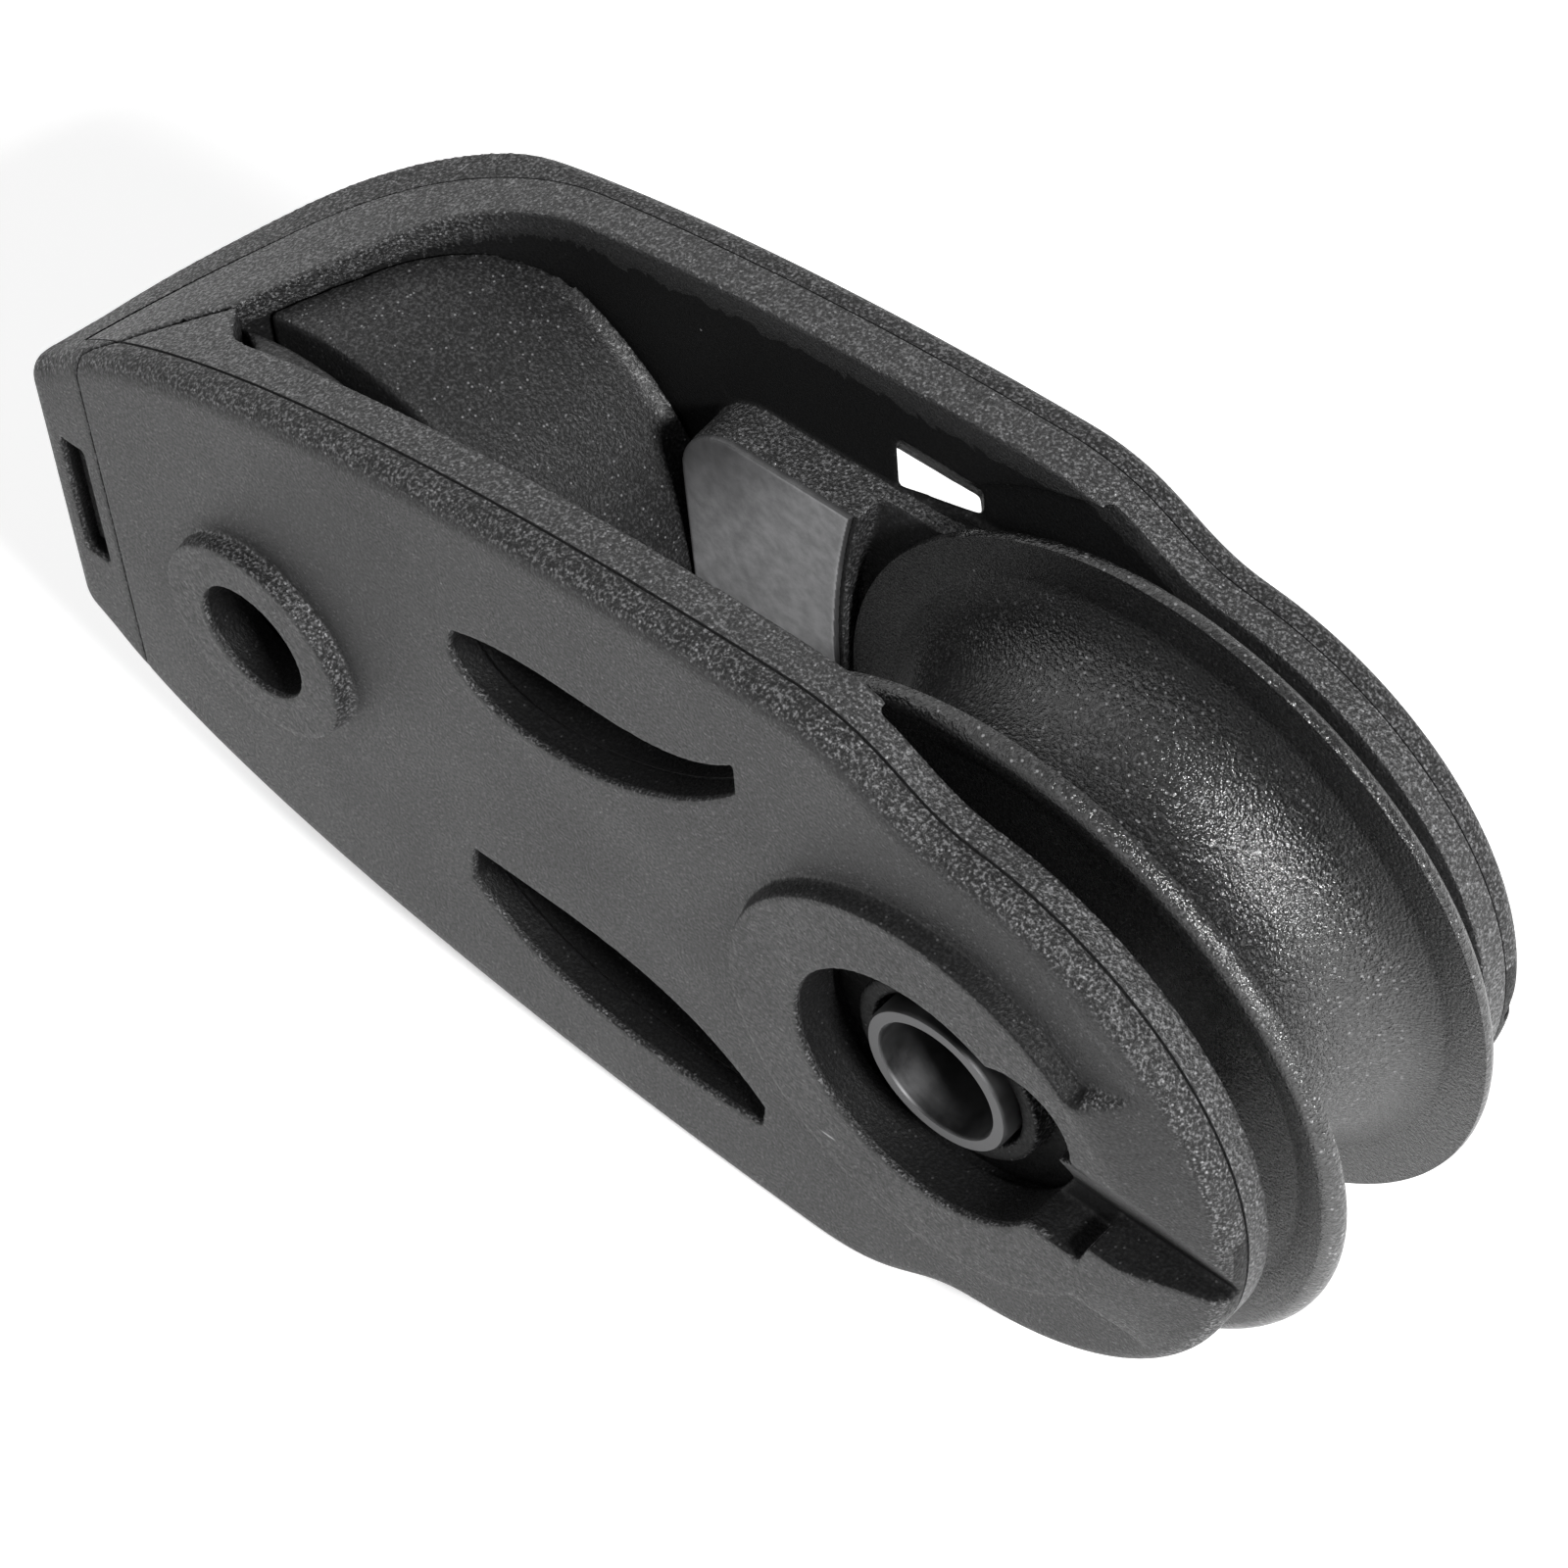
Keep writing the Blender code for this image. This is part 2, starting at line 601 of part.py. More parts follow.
def add_latch(block, nylon):
    """The toothed tongue that fills the bottom of the slot in the tail strip."""
    width, depth, height = SLOT_SIZE
    left, right = SLOT_PLACE[0] - width / 2 + GAP, SLOT_PLACE[0] + width / 2 - 2 * GAP
    low, high = SLOT_PLACE[1] - height / 2 + GAP, SLOT_PLACE[1] + height / 2 - GAP
    pitch = (high - low) / TONGUE_TEETH
    outline = [(left, low), (right, low)]
    for index in range(TONGUE_TEETH):
        outline.append((right + GAP, low + (index + 0.5) * pitch))
        outline.append((right, low + (index + 1) * pitch))
    outline.append((left, high))
    block.add(side_plate("tail_latch_tongue", outline, -12.1, -11.2), nylon)


def main():
    block = Block()
    nylon = make_material("black_nylon", *BLACK_NYLON)
    wheel_plastic = make_material("sheave_plastic", *SHEAVE_PLASTIC)
    guide_plastic = make_material("guide_plastic", *GUIDE_PLASTIC)
    steel = make_material("stainless_steel", *STAINLESS)
    acetal = make_material("acetal", *ACETAL)
    add_cheeks(block, nylon)
    add_drums(block, nylon)
    add_guides(block, guide_plastic)
    add_wheel(block, wheel_plastic, steel, acetal)
    add_axle(block, nylon, steel, acetal)
    add_latch(block, nylon)
    for item in block.pieces.objects:
        if item.type == "MESH":
            smooth_edges(item)


main()
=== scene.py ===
"""The looks of the single sheave block: moulded cheeks, drum, wheel and axle, and their studio.

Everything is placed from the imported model. Lengths below are in millimetres from the axle's
middle, with +X towards the nose, +Y across to the far cheek and +Z up through the rope opening.
"""

import math

import bmesh
import bpy
from mathutils import Euler, Matrix, Vector, kdtree


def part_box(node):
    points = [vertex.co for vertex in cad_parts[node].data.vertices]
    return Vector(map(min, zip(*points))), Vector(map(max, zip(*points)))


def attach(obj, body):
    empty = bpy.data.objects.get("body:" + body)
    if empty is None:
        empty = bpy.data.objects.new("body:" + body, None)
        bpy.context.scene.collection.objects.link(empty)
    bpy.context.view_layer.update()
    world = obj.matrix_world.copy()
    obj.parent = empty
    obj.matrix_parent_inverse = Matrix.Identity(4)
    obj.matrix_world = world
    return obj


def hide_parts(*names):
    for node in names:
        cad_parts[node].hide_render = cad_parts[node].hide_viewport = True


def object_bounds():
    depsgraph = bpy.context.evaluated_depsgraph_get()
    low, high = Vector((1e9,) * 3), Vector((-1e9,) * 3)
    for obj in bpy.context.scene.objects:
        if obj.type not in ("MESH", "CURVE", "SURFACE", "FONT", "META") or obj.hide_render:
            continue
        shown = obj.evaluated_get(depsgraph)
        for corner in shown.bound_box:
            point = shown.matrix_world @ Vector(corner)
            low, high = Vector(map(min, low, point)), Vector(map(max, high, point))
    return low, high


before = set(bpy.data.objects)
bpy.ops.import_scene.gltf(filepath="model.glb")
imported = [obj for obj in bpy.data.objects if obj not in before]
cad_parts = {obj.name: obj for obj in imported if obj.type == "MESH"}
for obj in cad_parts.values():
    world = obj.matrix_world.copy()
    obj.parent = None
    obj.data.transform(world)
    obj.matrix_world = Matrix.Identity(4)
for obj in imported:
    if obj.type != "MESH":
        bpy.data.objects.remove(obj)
cad_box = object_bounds()

MM = 0.001
AXLE = (Vector(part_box("hollow_axle")[0]) + Vector(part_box("hollow_axle")[1])) / 2
PLACE = Matrix.Translation(AXLE)
SIDES = (("near", -1), ("far", 1))

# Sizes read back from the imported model
PAD_BELOW_WALL = 2.42
BOSS_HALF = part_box("far_cheek_cover")[1][1] / MM
INNER_HALF = -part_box("near_guide_pad")[0][1] / MM + PAD_BELOW_WALL
TAIL_X = (cad_box[0][0] - AXLE.x) / MM
SHEAVE_RADIUS = (cad_box[1][0] - AXLE.x) / MM
HALF_HEIGHT = AXLE.z / MM
TAIL_BOLT_X = (
    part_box("tail_bolt_sleeve")[0][0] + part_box("tail_bolt_sleeve")[1][0]
) / 2 / MM - AXLE.x / MM

# The cheeks: planes across the block, outline and tail
OUTER_HALF = 13.0
SEAM_HALF = 11.0
SEAM_WIDTH = 0.09
NOSE_RADIUS = 19.9
NOSE_END = NOSE_RADIUS + 1
RIM_ROUND = 1.4
TAIL_SLANT = math.radians(27.0)
CAVITY_CORNER = (-57.6, -5.9)
NEAR_COVER_END = -64.6
NEAR_COVER_LIP = 12.2

# The bosses, and the relief that clears the wheel
BOSS_RADIUS = 13.6
BOSS_WALL = 0.42
TAIL_BOSS_RADIUS = 7.5
TAIL_BOSS_TOP_RADIUS = 6.95
TAIL_BOSS_DEPTH = 4.3
BOLT_HOLE_RADIUS = 4.0
SLEEVE_HOLE_RADIUS = 5.5
RELIEF_RADIUS = 23.9
RELIEF_DEPTH = 0.7

# The round recess over the hub, and the wider hole behind it that takes the collar
RECESS_RADIUS = 8.8
HUB_HOLE_RADIUS = 9.7
RECESS_LOBE = (7.0, 4.2)
RECESS_LOBE_RADIUS = 3.6
RECESS_LOBE_FLOOR = 8.9

# The rope guides between the drum and the wheel: a bed on the wall, a crest on it, then the pad
GUIDE_LEFT = -34.3
GUIDE_END = -22.9
GUIDE_HALF_HEIGHT = 14.9
GUIDE_CORNER = 4.6
GUIDE_HOLLOW_RADIUS = 55.0
BED_END = -12.6
BED_HALF = INNER_HALF - 1.05
BED_RISE = 0.7
CREST_HALF = INNER_HALF - 2.75
PAD_BACK = CREST_HALF - 0.1
PAD_HALF = INNER_HALF - 3.3

# The slanted window, where it meets the upper scoop and where it comes out beside the wheel
WINDOW_SCOOP_X = (-24.5, -18.0)
WINDOW_SCOOP_Z = (8.6, 12.4)
WINDOW_WHEEL_X = (-18.1, -11.9)
WINDOW_WHEEL_Z = (18.7, 22.6)
WINDOW_RISE = 2.0

# The tail slot and the toothed tongue in it
SLOT_SIZE = (2.1, 4.6, 9.8)
SLOT_PLACE = (-66.9, 0.5)
TONGUE_X = (-67.6, -66.4)
TONGUE_Z = (-3.9, 4.9)
TONGUE_Y = (-12.1, -11.2)
TONGUE_TEETH = 6
TOOTH_DEPTH = 0.25

# The drum's two halves, the wheel, the axle and the collars
DRUM_RADIUS = 16.9
DRUM_FLARE = 1.3
DRUM_EDGE = 0.3
NEAR_DRUM = (-8.2, -6.0)
FAR_DRUM = (-4.6, 8.5)
SHEAVE_HALF_WIDTH = 7.1
SHEAVE_LIP_RADIUS = 0.85
GROOVE_RADIUS = 6.2
GROOVE_CENTRE = 21.2
AXLE_RADIUS = 4.9
AXLE_BORE = 3.95
COLLAR_BORE = 5.2
COLLAR_SLEEVE_RADIUS = 6.3
COLLAR_FLANGE_RADIUS = 9.4
COLLAR_SPAN = (8.9, 10.3, 11.9)

# Meshes: the most triangles in a layer, and how far in from the cheek's outline its rim reaches
MOST_TRIANGLES = 170000
RIM_REACH = 1.6

# The camera and the lights, in metres, degrees and watts
CAMERA_PLACE = (0.1321, -0.1252, 0.2390)
CAMERA_TURN = (39.42, 3.563, 42.01)
CAMERA_LENS = 113.8
LAMP_PLACE = (0.40, -0.12, 0.32)
LAMP_SIZE = (0.10, 0.07)
LAMP_POWER = 3.4
WHITE = (1.0, 1.0, 1.0, 1.0)
LEFT_WALL_LIGHT = 1.1
RIGHT_WALL_LIGHT = 0.18
CEILING_LIGHT = 0.3
FLOOR_GLOW = 0.42


# Small geometry helpers -------------------------------------------------------------------------


def arc(centre, radius, start, end, count):
    points = []
    for step in range(count + 1):
        angle = math.radians(start + (end - start) * step / count)
        points.append((centre[0] + radius * math.cos(angle), centre[1] + radius * math.sin(angle)))
    return points


def bezier(start, leave, arrive, end, count):
    points = []
    for step in range(count + 1):
        t = step / count
        weights = ((1 - t) ** 3, 3 * t * (1 - t) ** 2, 3 * t * t * (1 - t), t**3)
        x = sum(weight * point[0] for weight, point in zip(weights, (start, leave, arrive, end)))
        y = sum(weight * point[1] for weight, point in zip(weights, (start, leave, arrive, end)))
        points.append((x, y))
    return points


def mirrored(points):
    return points + [(x, -z) for x, z in reversed(points) if abs(z) > 1e-6]


def smoothstep(low, high, value):
    t = min(1.0, max(0.0, (value - low) / (high - low)))
    return t * t * (3 - 2 * t)


def finish_tools(name, tools):
    if tools.faces and tools.calc_volume(signed=True) < 0:
        bmesh.ops.reverse_faces(tools, faces=tools.faces)
    mesh = bpy.data.meshes.new(name)
    tools.to_mesh(mesh)
    tools.free()
    item = bpy.data.objects.new(name, mesh)
    bpy.context.scene.collection.objects.link(item)
    return item


def plate_tools(outline, low, high):
    """An outline in XY as a closed plate from low to high along Z."""
    tools = bmesh.new()
    face = tools.faces.new([tools.verts.new((x * MM, y * MM, low * MM)) for x, y in outline])
    grown = bmesh.ops.extrude_face_region(tools, geom=[face])
    moved = [item for item in grown["geom"] if isinstance(item, bmesh.types.BMVert)]
    bmesh.ops.translate(tools, verts=moved, vec=(0, 0, (high - low) * MM))
    bmesh.ops.recalc_face_normals(tools, faces=tools.faces)
    return tools


def plan_plate(name, outline):
    return finish_tools(name, plate_tools(outline, -HALF_HEIGHT - 2, HALF_HEIGHT + 2))


def side_tools(outline, low, high):
    tools = plate_tools(outline, -high, -low)
    quarter_turn = Matrix.Rotation(math.pi / 2, 3, "X")
    bmesh.ops.rotate(tools, verts=tools.verts, cent=(0, 0, 0), matrix=quarter_turn)
    return tools


def side_plate(name, outline, low, high):
    return finish_tools(name, side_tools(outline, low, high))


def circle(radius, centre=(0.0, 0.0), count=96):
    return arc(centre, radius, 0, 360 - 360 / count, count - 1)


def disc(name, radius, low, high, centre=(0.0, 0.0), count=96):
    return side_plate(name, circle(radius, centre, count), min(low, high), max(low, high))


def use(item, kind, **settings):
    modifier = item.modifiers.new(kind.lower(), kind)
    for key, value in settings.items():
        setattr(modifier, key, value)
    return modifier


def apply(item):
    """Replaces an object's mesh by what its modifiers make of it."""
    bpy.context.view_layer.update()
    graph = bpy.context.evaluated_depsgraph_get()
    mesh = bpy.data.meshes.new_from_object(item.evaluated_get(graph))
    item.modifiers.clear()
    old = item.data
    item.data = mesh
    bpy.data.meshes.remove(old)


def combine(item, operation, *others):
    for other in others:
        use(item, "BOOLEAN", operation=operation, object=other, solver="MANIFOLD")
        apply(item)
        bpy.data.objects.remove(other, do_unlink=True)
    return item


def soften(item, voxel=0.16, rounds=4):
    """Gives a moulding its small rounded edges: an even fine mesh, then smoothed."""
    use(item, "REMESH", mode="VOXEL", voxel_size=voxel * MM)
    use(item, "SMOOTH", factor=0.5, iterations=rounds)
    apply(item)
    return item


def thin_out(item, most=MOST_TRIANGLES):
    """Thins a fine mesh where it is flat, down to a number of triangles."""
    item.data.calc_loop_triangles()
    count = len(item.data.loop_triangles)
    if count > most:
        use(item, "DECIMATE", ratio=most / count)
        apply(item)
    return item


def shade(item, degrees=40):
    for face in item.data.polygons:
        face.use_smooth = True
    item.data.set_sharp_from_angle(angle=math.radians(degrees))
    use(item, "WEIGHTED_NORMAL", keep_sharp=True, weight=60)


def turned(name, profile, steps=160, centre_x=0.0):
    """A closed profile of (radius, y) turned about an axis along Y."""
    tools = bmesh.new()
    rings = []
    for step in range(steps):
        angle = 2 * math.pi * step / steps
        across, up = math.cos(angle) * MM, math.sin(angle) * MM
        spots = [(centre_x * MM + r * across, y * MM, r * up) for r, y in profile]
        rings.append([tools.verts.new(spot) for spot in spots])
    for ring, following in zip(rings, rings[1:] + rings[:1]):
        for index in range(len(profile)):
            after = (index + 1) % len(profile)
            tools.faces.new((ring[index], ring[after], following[after], following[index]))
    bmesh.ops.recalc_face_normals(tools, faces=tools.faces)
    return finish_tools(name, tools)


def rounded(profile, radius, count=3):
    """Rounds each corner of a closed (radius, y) profile."""
    points = []
    total = len(profile)
    for index in range(total):
        here = Vector(profile[index])
        before = Vector(profile[index - 1]) - here
        after = Vector(profile[(index + 1) % total]) - here
        reach = min(radius, before.length / 2.2, after.length / 2.2)
        start = here + before.normalized() * reach
        end = here + after.normalized() * reach
        for step in range(count + 1):
            t = step / count
            spot = start * (1 - t) ** 2 + here * 2 * t * (1 - t) + end * t * t
            points.append((spot.x, spot.y))
    return points


def height_at(curve, x):
    """The second coordinate of a curve, drawn from left to right, where its first is x."""
    for (x0, z0), (x1, z1) in zip(curve, curve[1:]):
        if x <= x1:
            return z0 + (z1 - z0) * max(0.0, x - x0) / max(x1 - x0, 1e-6)
    return curve[-1][1]


# The cheeks -------------------------------------------------------------------------------------


def cheek_outline():
    tail = arc((TAIL_X + 2.2, 9.0), 2.2, 180, 118, 6)
    back = bezier((-67.5, 11.9), (-58.5, 19.8), (-33.7, HALF_HEIGHT), (-9.6, HALF_HEIGHT), 60)
    step = bezier((-9.6, HALF_HEIGHT), (-3.4, 23.8), (-2.6, 20.3), (2.25, 19.78), 20)
    nose = arc((0.0, 0.0), NOSE_RADIUS, 82, 0, 48)
    return mirrored(tail + back + step[1:] + nose[1:])


def side_profile():
    """The side view as a solid, its long edges rounded as the cheeks' outer edges are."""
    tools = side_tools(cheek_outline(), -OUTER_HALF, OUTER_HALF)
    rims = []
    for edge in tools.edges:
        flat = [face for face in edge.link_faces if abs(face.normal.y) > 0.9]
        if len(flat) == 1:
            rims.append(edge)
    width = RIM_ROUND * MM
    bmesh.ops.bevel(tools, geom=rims, offset=width, segments=5, profile=0.5, affect="EDGES")
    return finish_tools("side_profile", tools)


def slanted_wall(near_x, near_y, far_y, turn_radius, count=28):
    """A plan line from the near side, slanted along the tail and turned round the far corner."""
    start_y = far_y - turn_radius * (1 - math.sin(TAIL_SLANT))
    start_x = near_x + (start_y - near_y) * math.tan(TAIL_SLANT)
    centre = (start_x + turn_radius * math.cos(TAIL_SLANT), far_y - turn_radius)
    first = 180 - math.degrees(TAIL_SLANT)
    return [(near_x, near_y)] + arc(centre, turn_radius, first, 90, count)


OUTER_TAIL = slanted_wall(TAIL_X - 0.2, -OUTER_HALF, OUTER_HALF, 18.0)
SEAM_TAIL = slanted_wall(-65.9, -SEAM_HALF, SEAM_HALF, 16.9)
INNER_TAIL = slanted_wall(*CAVITY_CORNER, INNER_HALF, 11.3)


def shifted(points, dx, dy):
    return [(x + dx, y + dy) for x, y in points]


def far_cover_part():
    """Everything outside the far cheek's seam, which runs round the tail."""
    outside = [(-80, -20), (-80, 20), (30, 20), (30, SEAM_HALF + SEAM_WIDTH)]
    seam = list(reversed(shifted(SEAM_TAIL, -SEAM_WIDTH, SEAM_WIDTH)))[:-1]
    return outside + seam + [(-66.0, -SEAM_HALF), (-60.0, -SEAM_HALF), (-60.0, -20)]


def far_frame_part():
    inner = [(30, -8), (-60.0, -8), (-60.0, -SEAM_HALF + SEAM_WIDTH)]
    return [(-65.6, -SEAM_HALF + SEAM_WIDTH)] + SEAM_TAIL[1:] + [(30, SEAM_HALF)] + inner


def near_part(low, high):
    return [(-80, low), (30, low), (30, high), (-80, high)]


def near_cheek_plan():
    corner = bezier((-57.3, -6.1), (-55.4, -8.2), (-55.3, -8.5), (-53.5, -INNER_HALF), 10)
    end = [(NEAR_COVER_END, -OUTER_HALF), (NEAR_COVER_END, -NEAR_COVER_LIP)]
    end.append((-62.4, -SEAM_HALF + SEAM_WIDTH))
    return end + corner + [(NOSE_END, -INNER_HALF), (NOSE_END, -OUTER_HALF)]


def far_cheek_plan():
    outer = OUTER_TAIL + [(NOSE_END, OUTER_HALF), (NOSE_END, INNER_HALF)]
    end = NEAR_COVER_END - SEAM_WIDTH / 3
    beside_cover = [(-62.6, -SEAM_HALF + SEAM_WIDTH), (end, -NEAR_COVER_LIP), (end, -OUTER_HALF)]
    return outer + list(reversed(INNER_TAIL)) + beside_cover


def boss_height(radius, angle):
    """How far the axle's boss stands proud: a steep wall, but a long slope on the nose's side."""
    turn = abs(math.degrees(math.atan2(math.sin(angle), math.cos(angle))))
    wall = BOSS_WALL + 5.5 * (1 - smoothstep(37.0, 41.0, turn))
    return (BOSS_HALF - OUTER_HALF) * (1 - smoothstep(BOSS_RADIUS, BOSS_RADIUS + wall, radius))


def axle_boss(name, side):
    """The raised boss as a closed ring, with its upper face shaped by boss_height."""
    tools = bmesh.new()
    wall = [BOSS_RADIUS + 0.07 * step for step in range(9)]
    radii = [8.0, 11.0, 13.0, 13.4] + wall + [14.5 + 0.4 * step for step in range(13)]
    turns = 240
    rows = []
    for step in range(turns):
        angle = 2 * math.pi * step / turns
        row = []
        for radius in radii:
            height = OUTER_HALF - 0.04 + boss_height(radius, angle) * 1.03
            spot = Vector((radius * math.cos(angle), side * height, radius * math.sin(angle)))
            row.append(tools.verts.new(spot * MM))
        rows.append(row)
    low = side * (OUTER_HALF - 1.2) * MM
    inner = [tools.verts.new((row[0].co.x, low, row[0].co.z)) for row in rows]
    outer = [tools.verts.new((row[-1].co.x, low, row[-1].co.z)) for row in rows]
    for step in range(turns):
        after = (step + 1) % turns
        row, following = rows[step], rows[after]
        for index in range(len(radii) - 1):
            beyond = index + 1
            tools.faces.new((row[index], row[beyond], following[beyond], following[index]))
        tools.faces.new((inner[step], row[0], following[0], inner[after]))
        tools.faces.new((row[-1], outer[step], outer[after], following[-1]))
        tools.faces.new((outer[step], inner[step], inner[after], outer[after]))
    bmesh.ops.recalc_face_normals(tools, faces=tools.faces)
    boss = finish_tools(name, tools)
    reach = sorted((side * (OUTER_HALF - 3), side * (BOSS_HALF + 1)))
    nose = arc((0, 0), NOSE_RADIUS - RIM_ROUND, 0, 358, 180)
    return combine(boss, "INTERSECT", side_plate("nose_limit", nose, *reach))


def tail_boss(name, side):
    """A low round boss with a drafted wall, deep enough to reach the far cheek's curved corner."""
    tools = side_tools(circle(TAIL_BOSS_RADIUS, (TAIL_BOLT_X, 0.0)), 0.0, 1.0)
    for corner in tools.verts:
        top = corner.co.y > 0.5 * MM
        reach = TAIL_BOSS_TOP_RADIUS / TAIL_BOSS_RADIUS if top else 1.0
        corner.co.x = (TAIL_BOLT_X + (corner.co.x / MM - TAIL_BOLT_X) * reach) * MM
        corner.co.z *= reach
        corner.co.y = side * (BOSS_HALF if top else OUTER_HALF - TAIL_BOSS_DEPTH) * MM
    bmesh.ops.recalc_face_normals(tools, faces=tools.faces)
    return finish_tools(name, tools)


def scoop(name, outline, side, depth, columns=60, rows=48):
    """The tool for a hollow in a cheek's face: an outline, and a floor at depth(x, z) below it."""
    xs = [x for x, z in outline]
    zs = [z for x, z in outline]
    tools = bmesh.new()
    bmesh.ops.create_grid(tools, x_segments=columns, y_segments=rows, size=0.5)
    for corner in tools.verts:
        x = min(xs) - 1 + (corner.co.x + 0.5) * (max(xs) - min(xs) + 2)
        z = min(zs) - 1 + (corner.co.y + 0.5) * (max(zs) - min(zs) + 2)
        corner.co = Vector((x, side * (OUTER_HALF - depth(x, z)), z)) * MM
    grown = bmesh.ops.extrude_face_region(tools, geom=tools.faces[:])
    for corner in grown["geom"]:
        if isinstance(corner, bmesh.types.BMVert):
            corner.co.y = side * (BOSS_HALF + 1.5) * MM
    bmesh.ops.recalc_face_normals(tools, faces=tools.faces)
    floor = finish_tools(name, tools)
    ends = sorted((side * (INNER_HALF - 4), side * (BOSS_HALF + 1)))
    return combine(floor, "INTERSECT", side_plate(name + "_outline", outline, *ends))


def hollow(name, side, lower, crest, deepest, growth):
    """A scoop that deepens from its soft upper side, the crest, down to its crisp lower edge."""

    def depth(x, z):
        top = height_at(crest, x)
        bottom = height_at(lower, x)
        down = min(1.0, max(-0.3, (top - z) / max(top - bottom, 1.2)))
        return deepest * math.copysign(abs(down) ** growth, down)

    upper = [(x, z + 0.9) for x, z in reversed(crest)]
    return scoop(name, lower + upper, side, depth)


def upper_scoop(side):
    lower = bezier((-34.9, 10.2), (-33.5, 4.6), (-21.0, 5.6), (-13.1, 14.3), 32)
    crest = bezier((-34.2, 12.2), (-27.0, 15.4), (-19.5, 11.0), (-12.9, 16.9), 32)
    return hollow("upper_scoop", side, lower, crest, 4.3, 0.8)


def lower_scoop(side):
    lower = bezier((-36.2, -11.2), (-32.0, -16.4), (-24.0, -17.4), (-13.8, -16.2), 32)
    crest = bezier((-35.6, -8.0), (-26.5, -8.0), (-19.0, -7.6), (-13.3, -14.2), 32)
    return hollow("lower_scoop", side, lower, crest, 4.1, 0.8)


def nose_channel(side):
    """The way from the recess to the nose: a slope down from the boss to a crisp toothed edge."""
    lower = [(4.0, -5.6), (8.4, -4.8), (11.0, -5.0), (11.7, -3.2), (22.0, -2.8)]
    outline = lower + [(22.0, 3.0), (4.0, 4.6)]

    def depth(x, z):
        return min(1.65, 0.42 * (0.9 - z))

    return scoop("nose_channel", outline, side, depth)


def window(side):
    """The slanted opening from the end of the upper scoop to the space beside the wheel."""
    tools = bmesh.new()
    bmesh.ops.create_cube(tools, size=2 * MM)
    for corner in tools.verts:
        outside = corner.co.y > 0
        low, high = WINDOW_SCOOP_Z if outside else WINDOW_WHEEL_Z
        left, right = WINDOW_SCOOP_X if outside else WINDOW_WHEEL_X
        if corner.co.x > 0:
            low += WINDOW_RISE
        corner.co.x = (left if corner.co.x < 0 else right) * MM
        corner.co.z = (low if corner.co.z < 0 else high) * MM
        corner.co.y = side * (OUTER_HALF - 0.6 if outside else INNER_HALF - 2.0) * MM
    bmesh.ops.recalc_face_normals(tools, faces=tools.faces)
    return finish_tools("window", tools)


def guide_left(left, half):
    """The guide's drum side, with its two round corners."""
    lower = arc((left + GUIDE_CORNER, -half + GUIDE_CORNER), GUIDE_CORNER, 270, 180, 10)
    upper = arc((left + GUIDE_CORNER, half - GUIDE_CORNER), GUIDE_CORNER, 180, 90, 10)
    return lower + upper


def guide_outline(inset, count=24):
    """The rope guide between the drum and the wheel, slightly hollowed on the wheel's side."""
    half = GUIDE_HALF_HEIGHT - inset
    centre = GUIDE_END - inset + GUIDE_HOLLOW_RADIUS
    reach = math.degrees(math.asin(half / GUIDE_HOLLOW_RADIUS))
    edge = arc((centre, 0.0), GUIDE_HOLLOW_RADIUS, 180 - reach, 180 + reach, count)
    return edge + guide_left(GUIDE_LEFT + inset, half)


def raised(name, outline, side, crest):
    """A raised part of the inner wall, a little lower at its crest than at the wall."""
    ends = sorted((side * crest, side * (INNER_HALF + 1)))
    tools = side_tools(outline, *ends)
    for corner in tools.verts:
        if abs(abs(corner.co.y) - crest * MM) < 1e-6:
            corner.co.z *= 0.97
    return finish_tools(name, tools)


def guide_bed(side):
    """The low step on the wall that carries the guide and runs on behind the wheel."""
    half = GUIDE_HALF_HEIGHT
    wheel_side = [(BED_END, half + BED_RISE), (BED_END, -half - BED_RISE)]
    return raised("guide_bed", wheel_side + guide_left(GUIDE_LEFT, half), side, BED_HALF)


def whole_cheek(name, plan, side, *extra_cuts):
    """Both layers of one cheek as one softened body, before it is parted along its seam."""
    item = combine(plan_plate(name, plan), "INTERSECT", side_profile())
    combine(item, "UNION", axle_boss("axle_boss", side))
    combine(item, "UNION", tail_boss("tail_boss", side))
    outside = side * (BOSS_HALF + 1)
    inside = side * (INNER_HALF - 1)
    lobe_floor = side * RECESS_LOBE_FLOOR
    tail = (TAIL_BOLT_X, 0.0)
    relief = (side * (INNER_HALF - 0.8), side * (INNER_HALF + RELIEF_DEPTH))
    combine(item, "DIFFERENCE", disc("wheel_relief", RELIEF_RADIUS, *relief, count=160))
    crest = guide_outline(0.0)
    combine(item, "UNION", guide_bed(side), raised("guide_crest", crest, side, CREST_HALF))
    cuts = [
        disc("hub_hole", HUB_HOLE_RADIUS, inside, side * SEAM_HALF, count=144),
        disc("recess", RECESS_RADIUS, inside, outside, count=144),
        disc("recess_lobe", RECESS_LOBE_RADIUS, lobe_floor, outside, centre=RECESS_LOBE, count=64),
        disc("bolt_hole", BOLT_HOLE_RADIUS, -BOSS_HALF - 1, BOSS_HALF + 1, centre=tail),
        disc("sleeve_hole", SLEEVE_HOLE_RADIUS, -SEAM_HALF, SEAM_HALF, centre=tail),
        upper_scoop(side),
        lower_scoop(side),
        nose_channel(side),
        window(side),
    ]
    combine(item, "DIFFERENCE", *cuts, *extra_cuts)
    return soften(item)


def parted(whole, name, plan):
    """The part of a softened cheek that lies inside one layer's plan."""
    item = whole.copy()
    item.data = whole.data.copy()
    item.name = name
    bpy.context.scene.collection.objects.link(item)
    combine(item, "INTERSECT", plan_plate("layer", plan))
    return mark_recess_shade(thin_out(item))


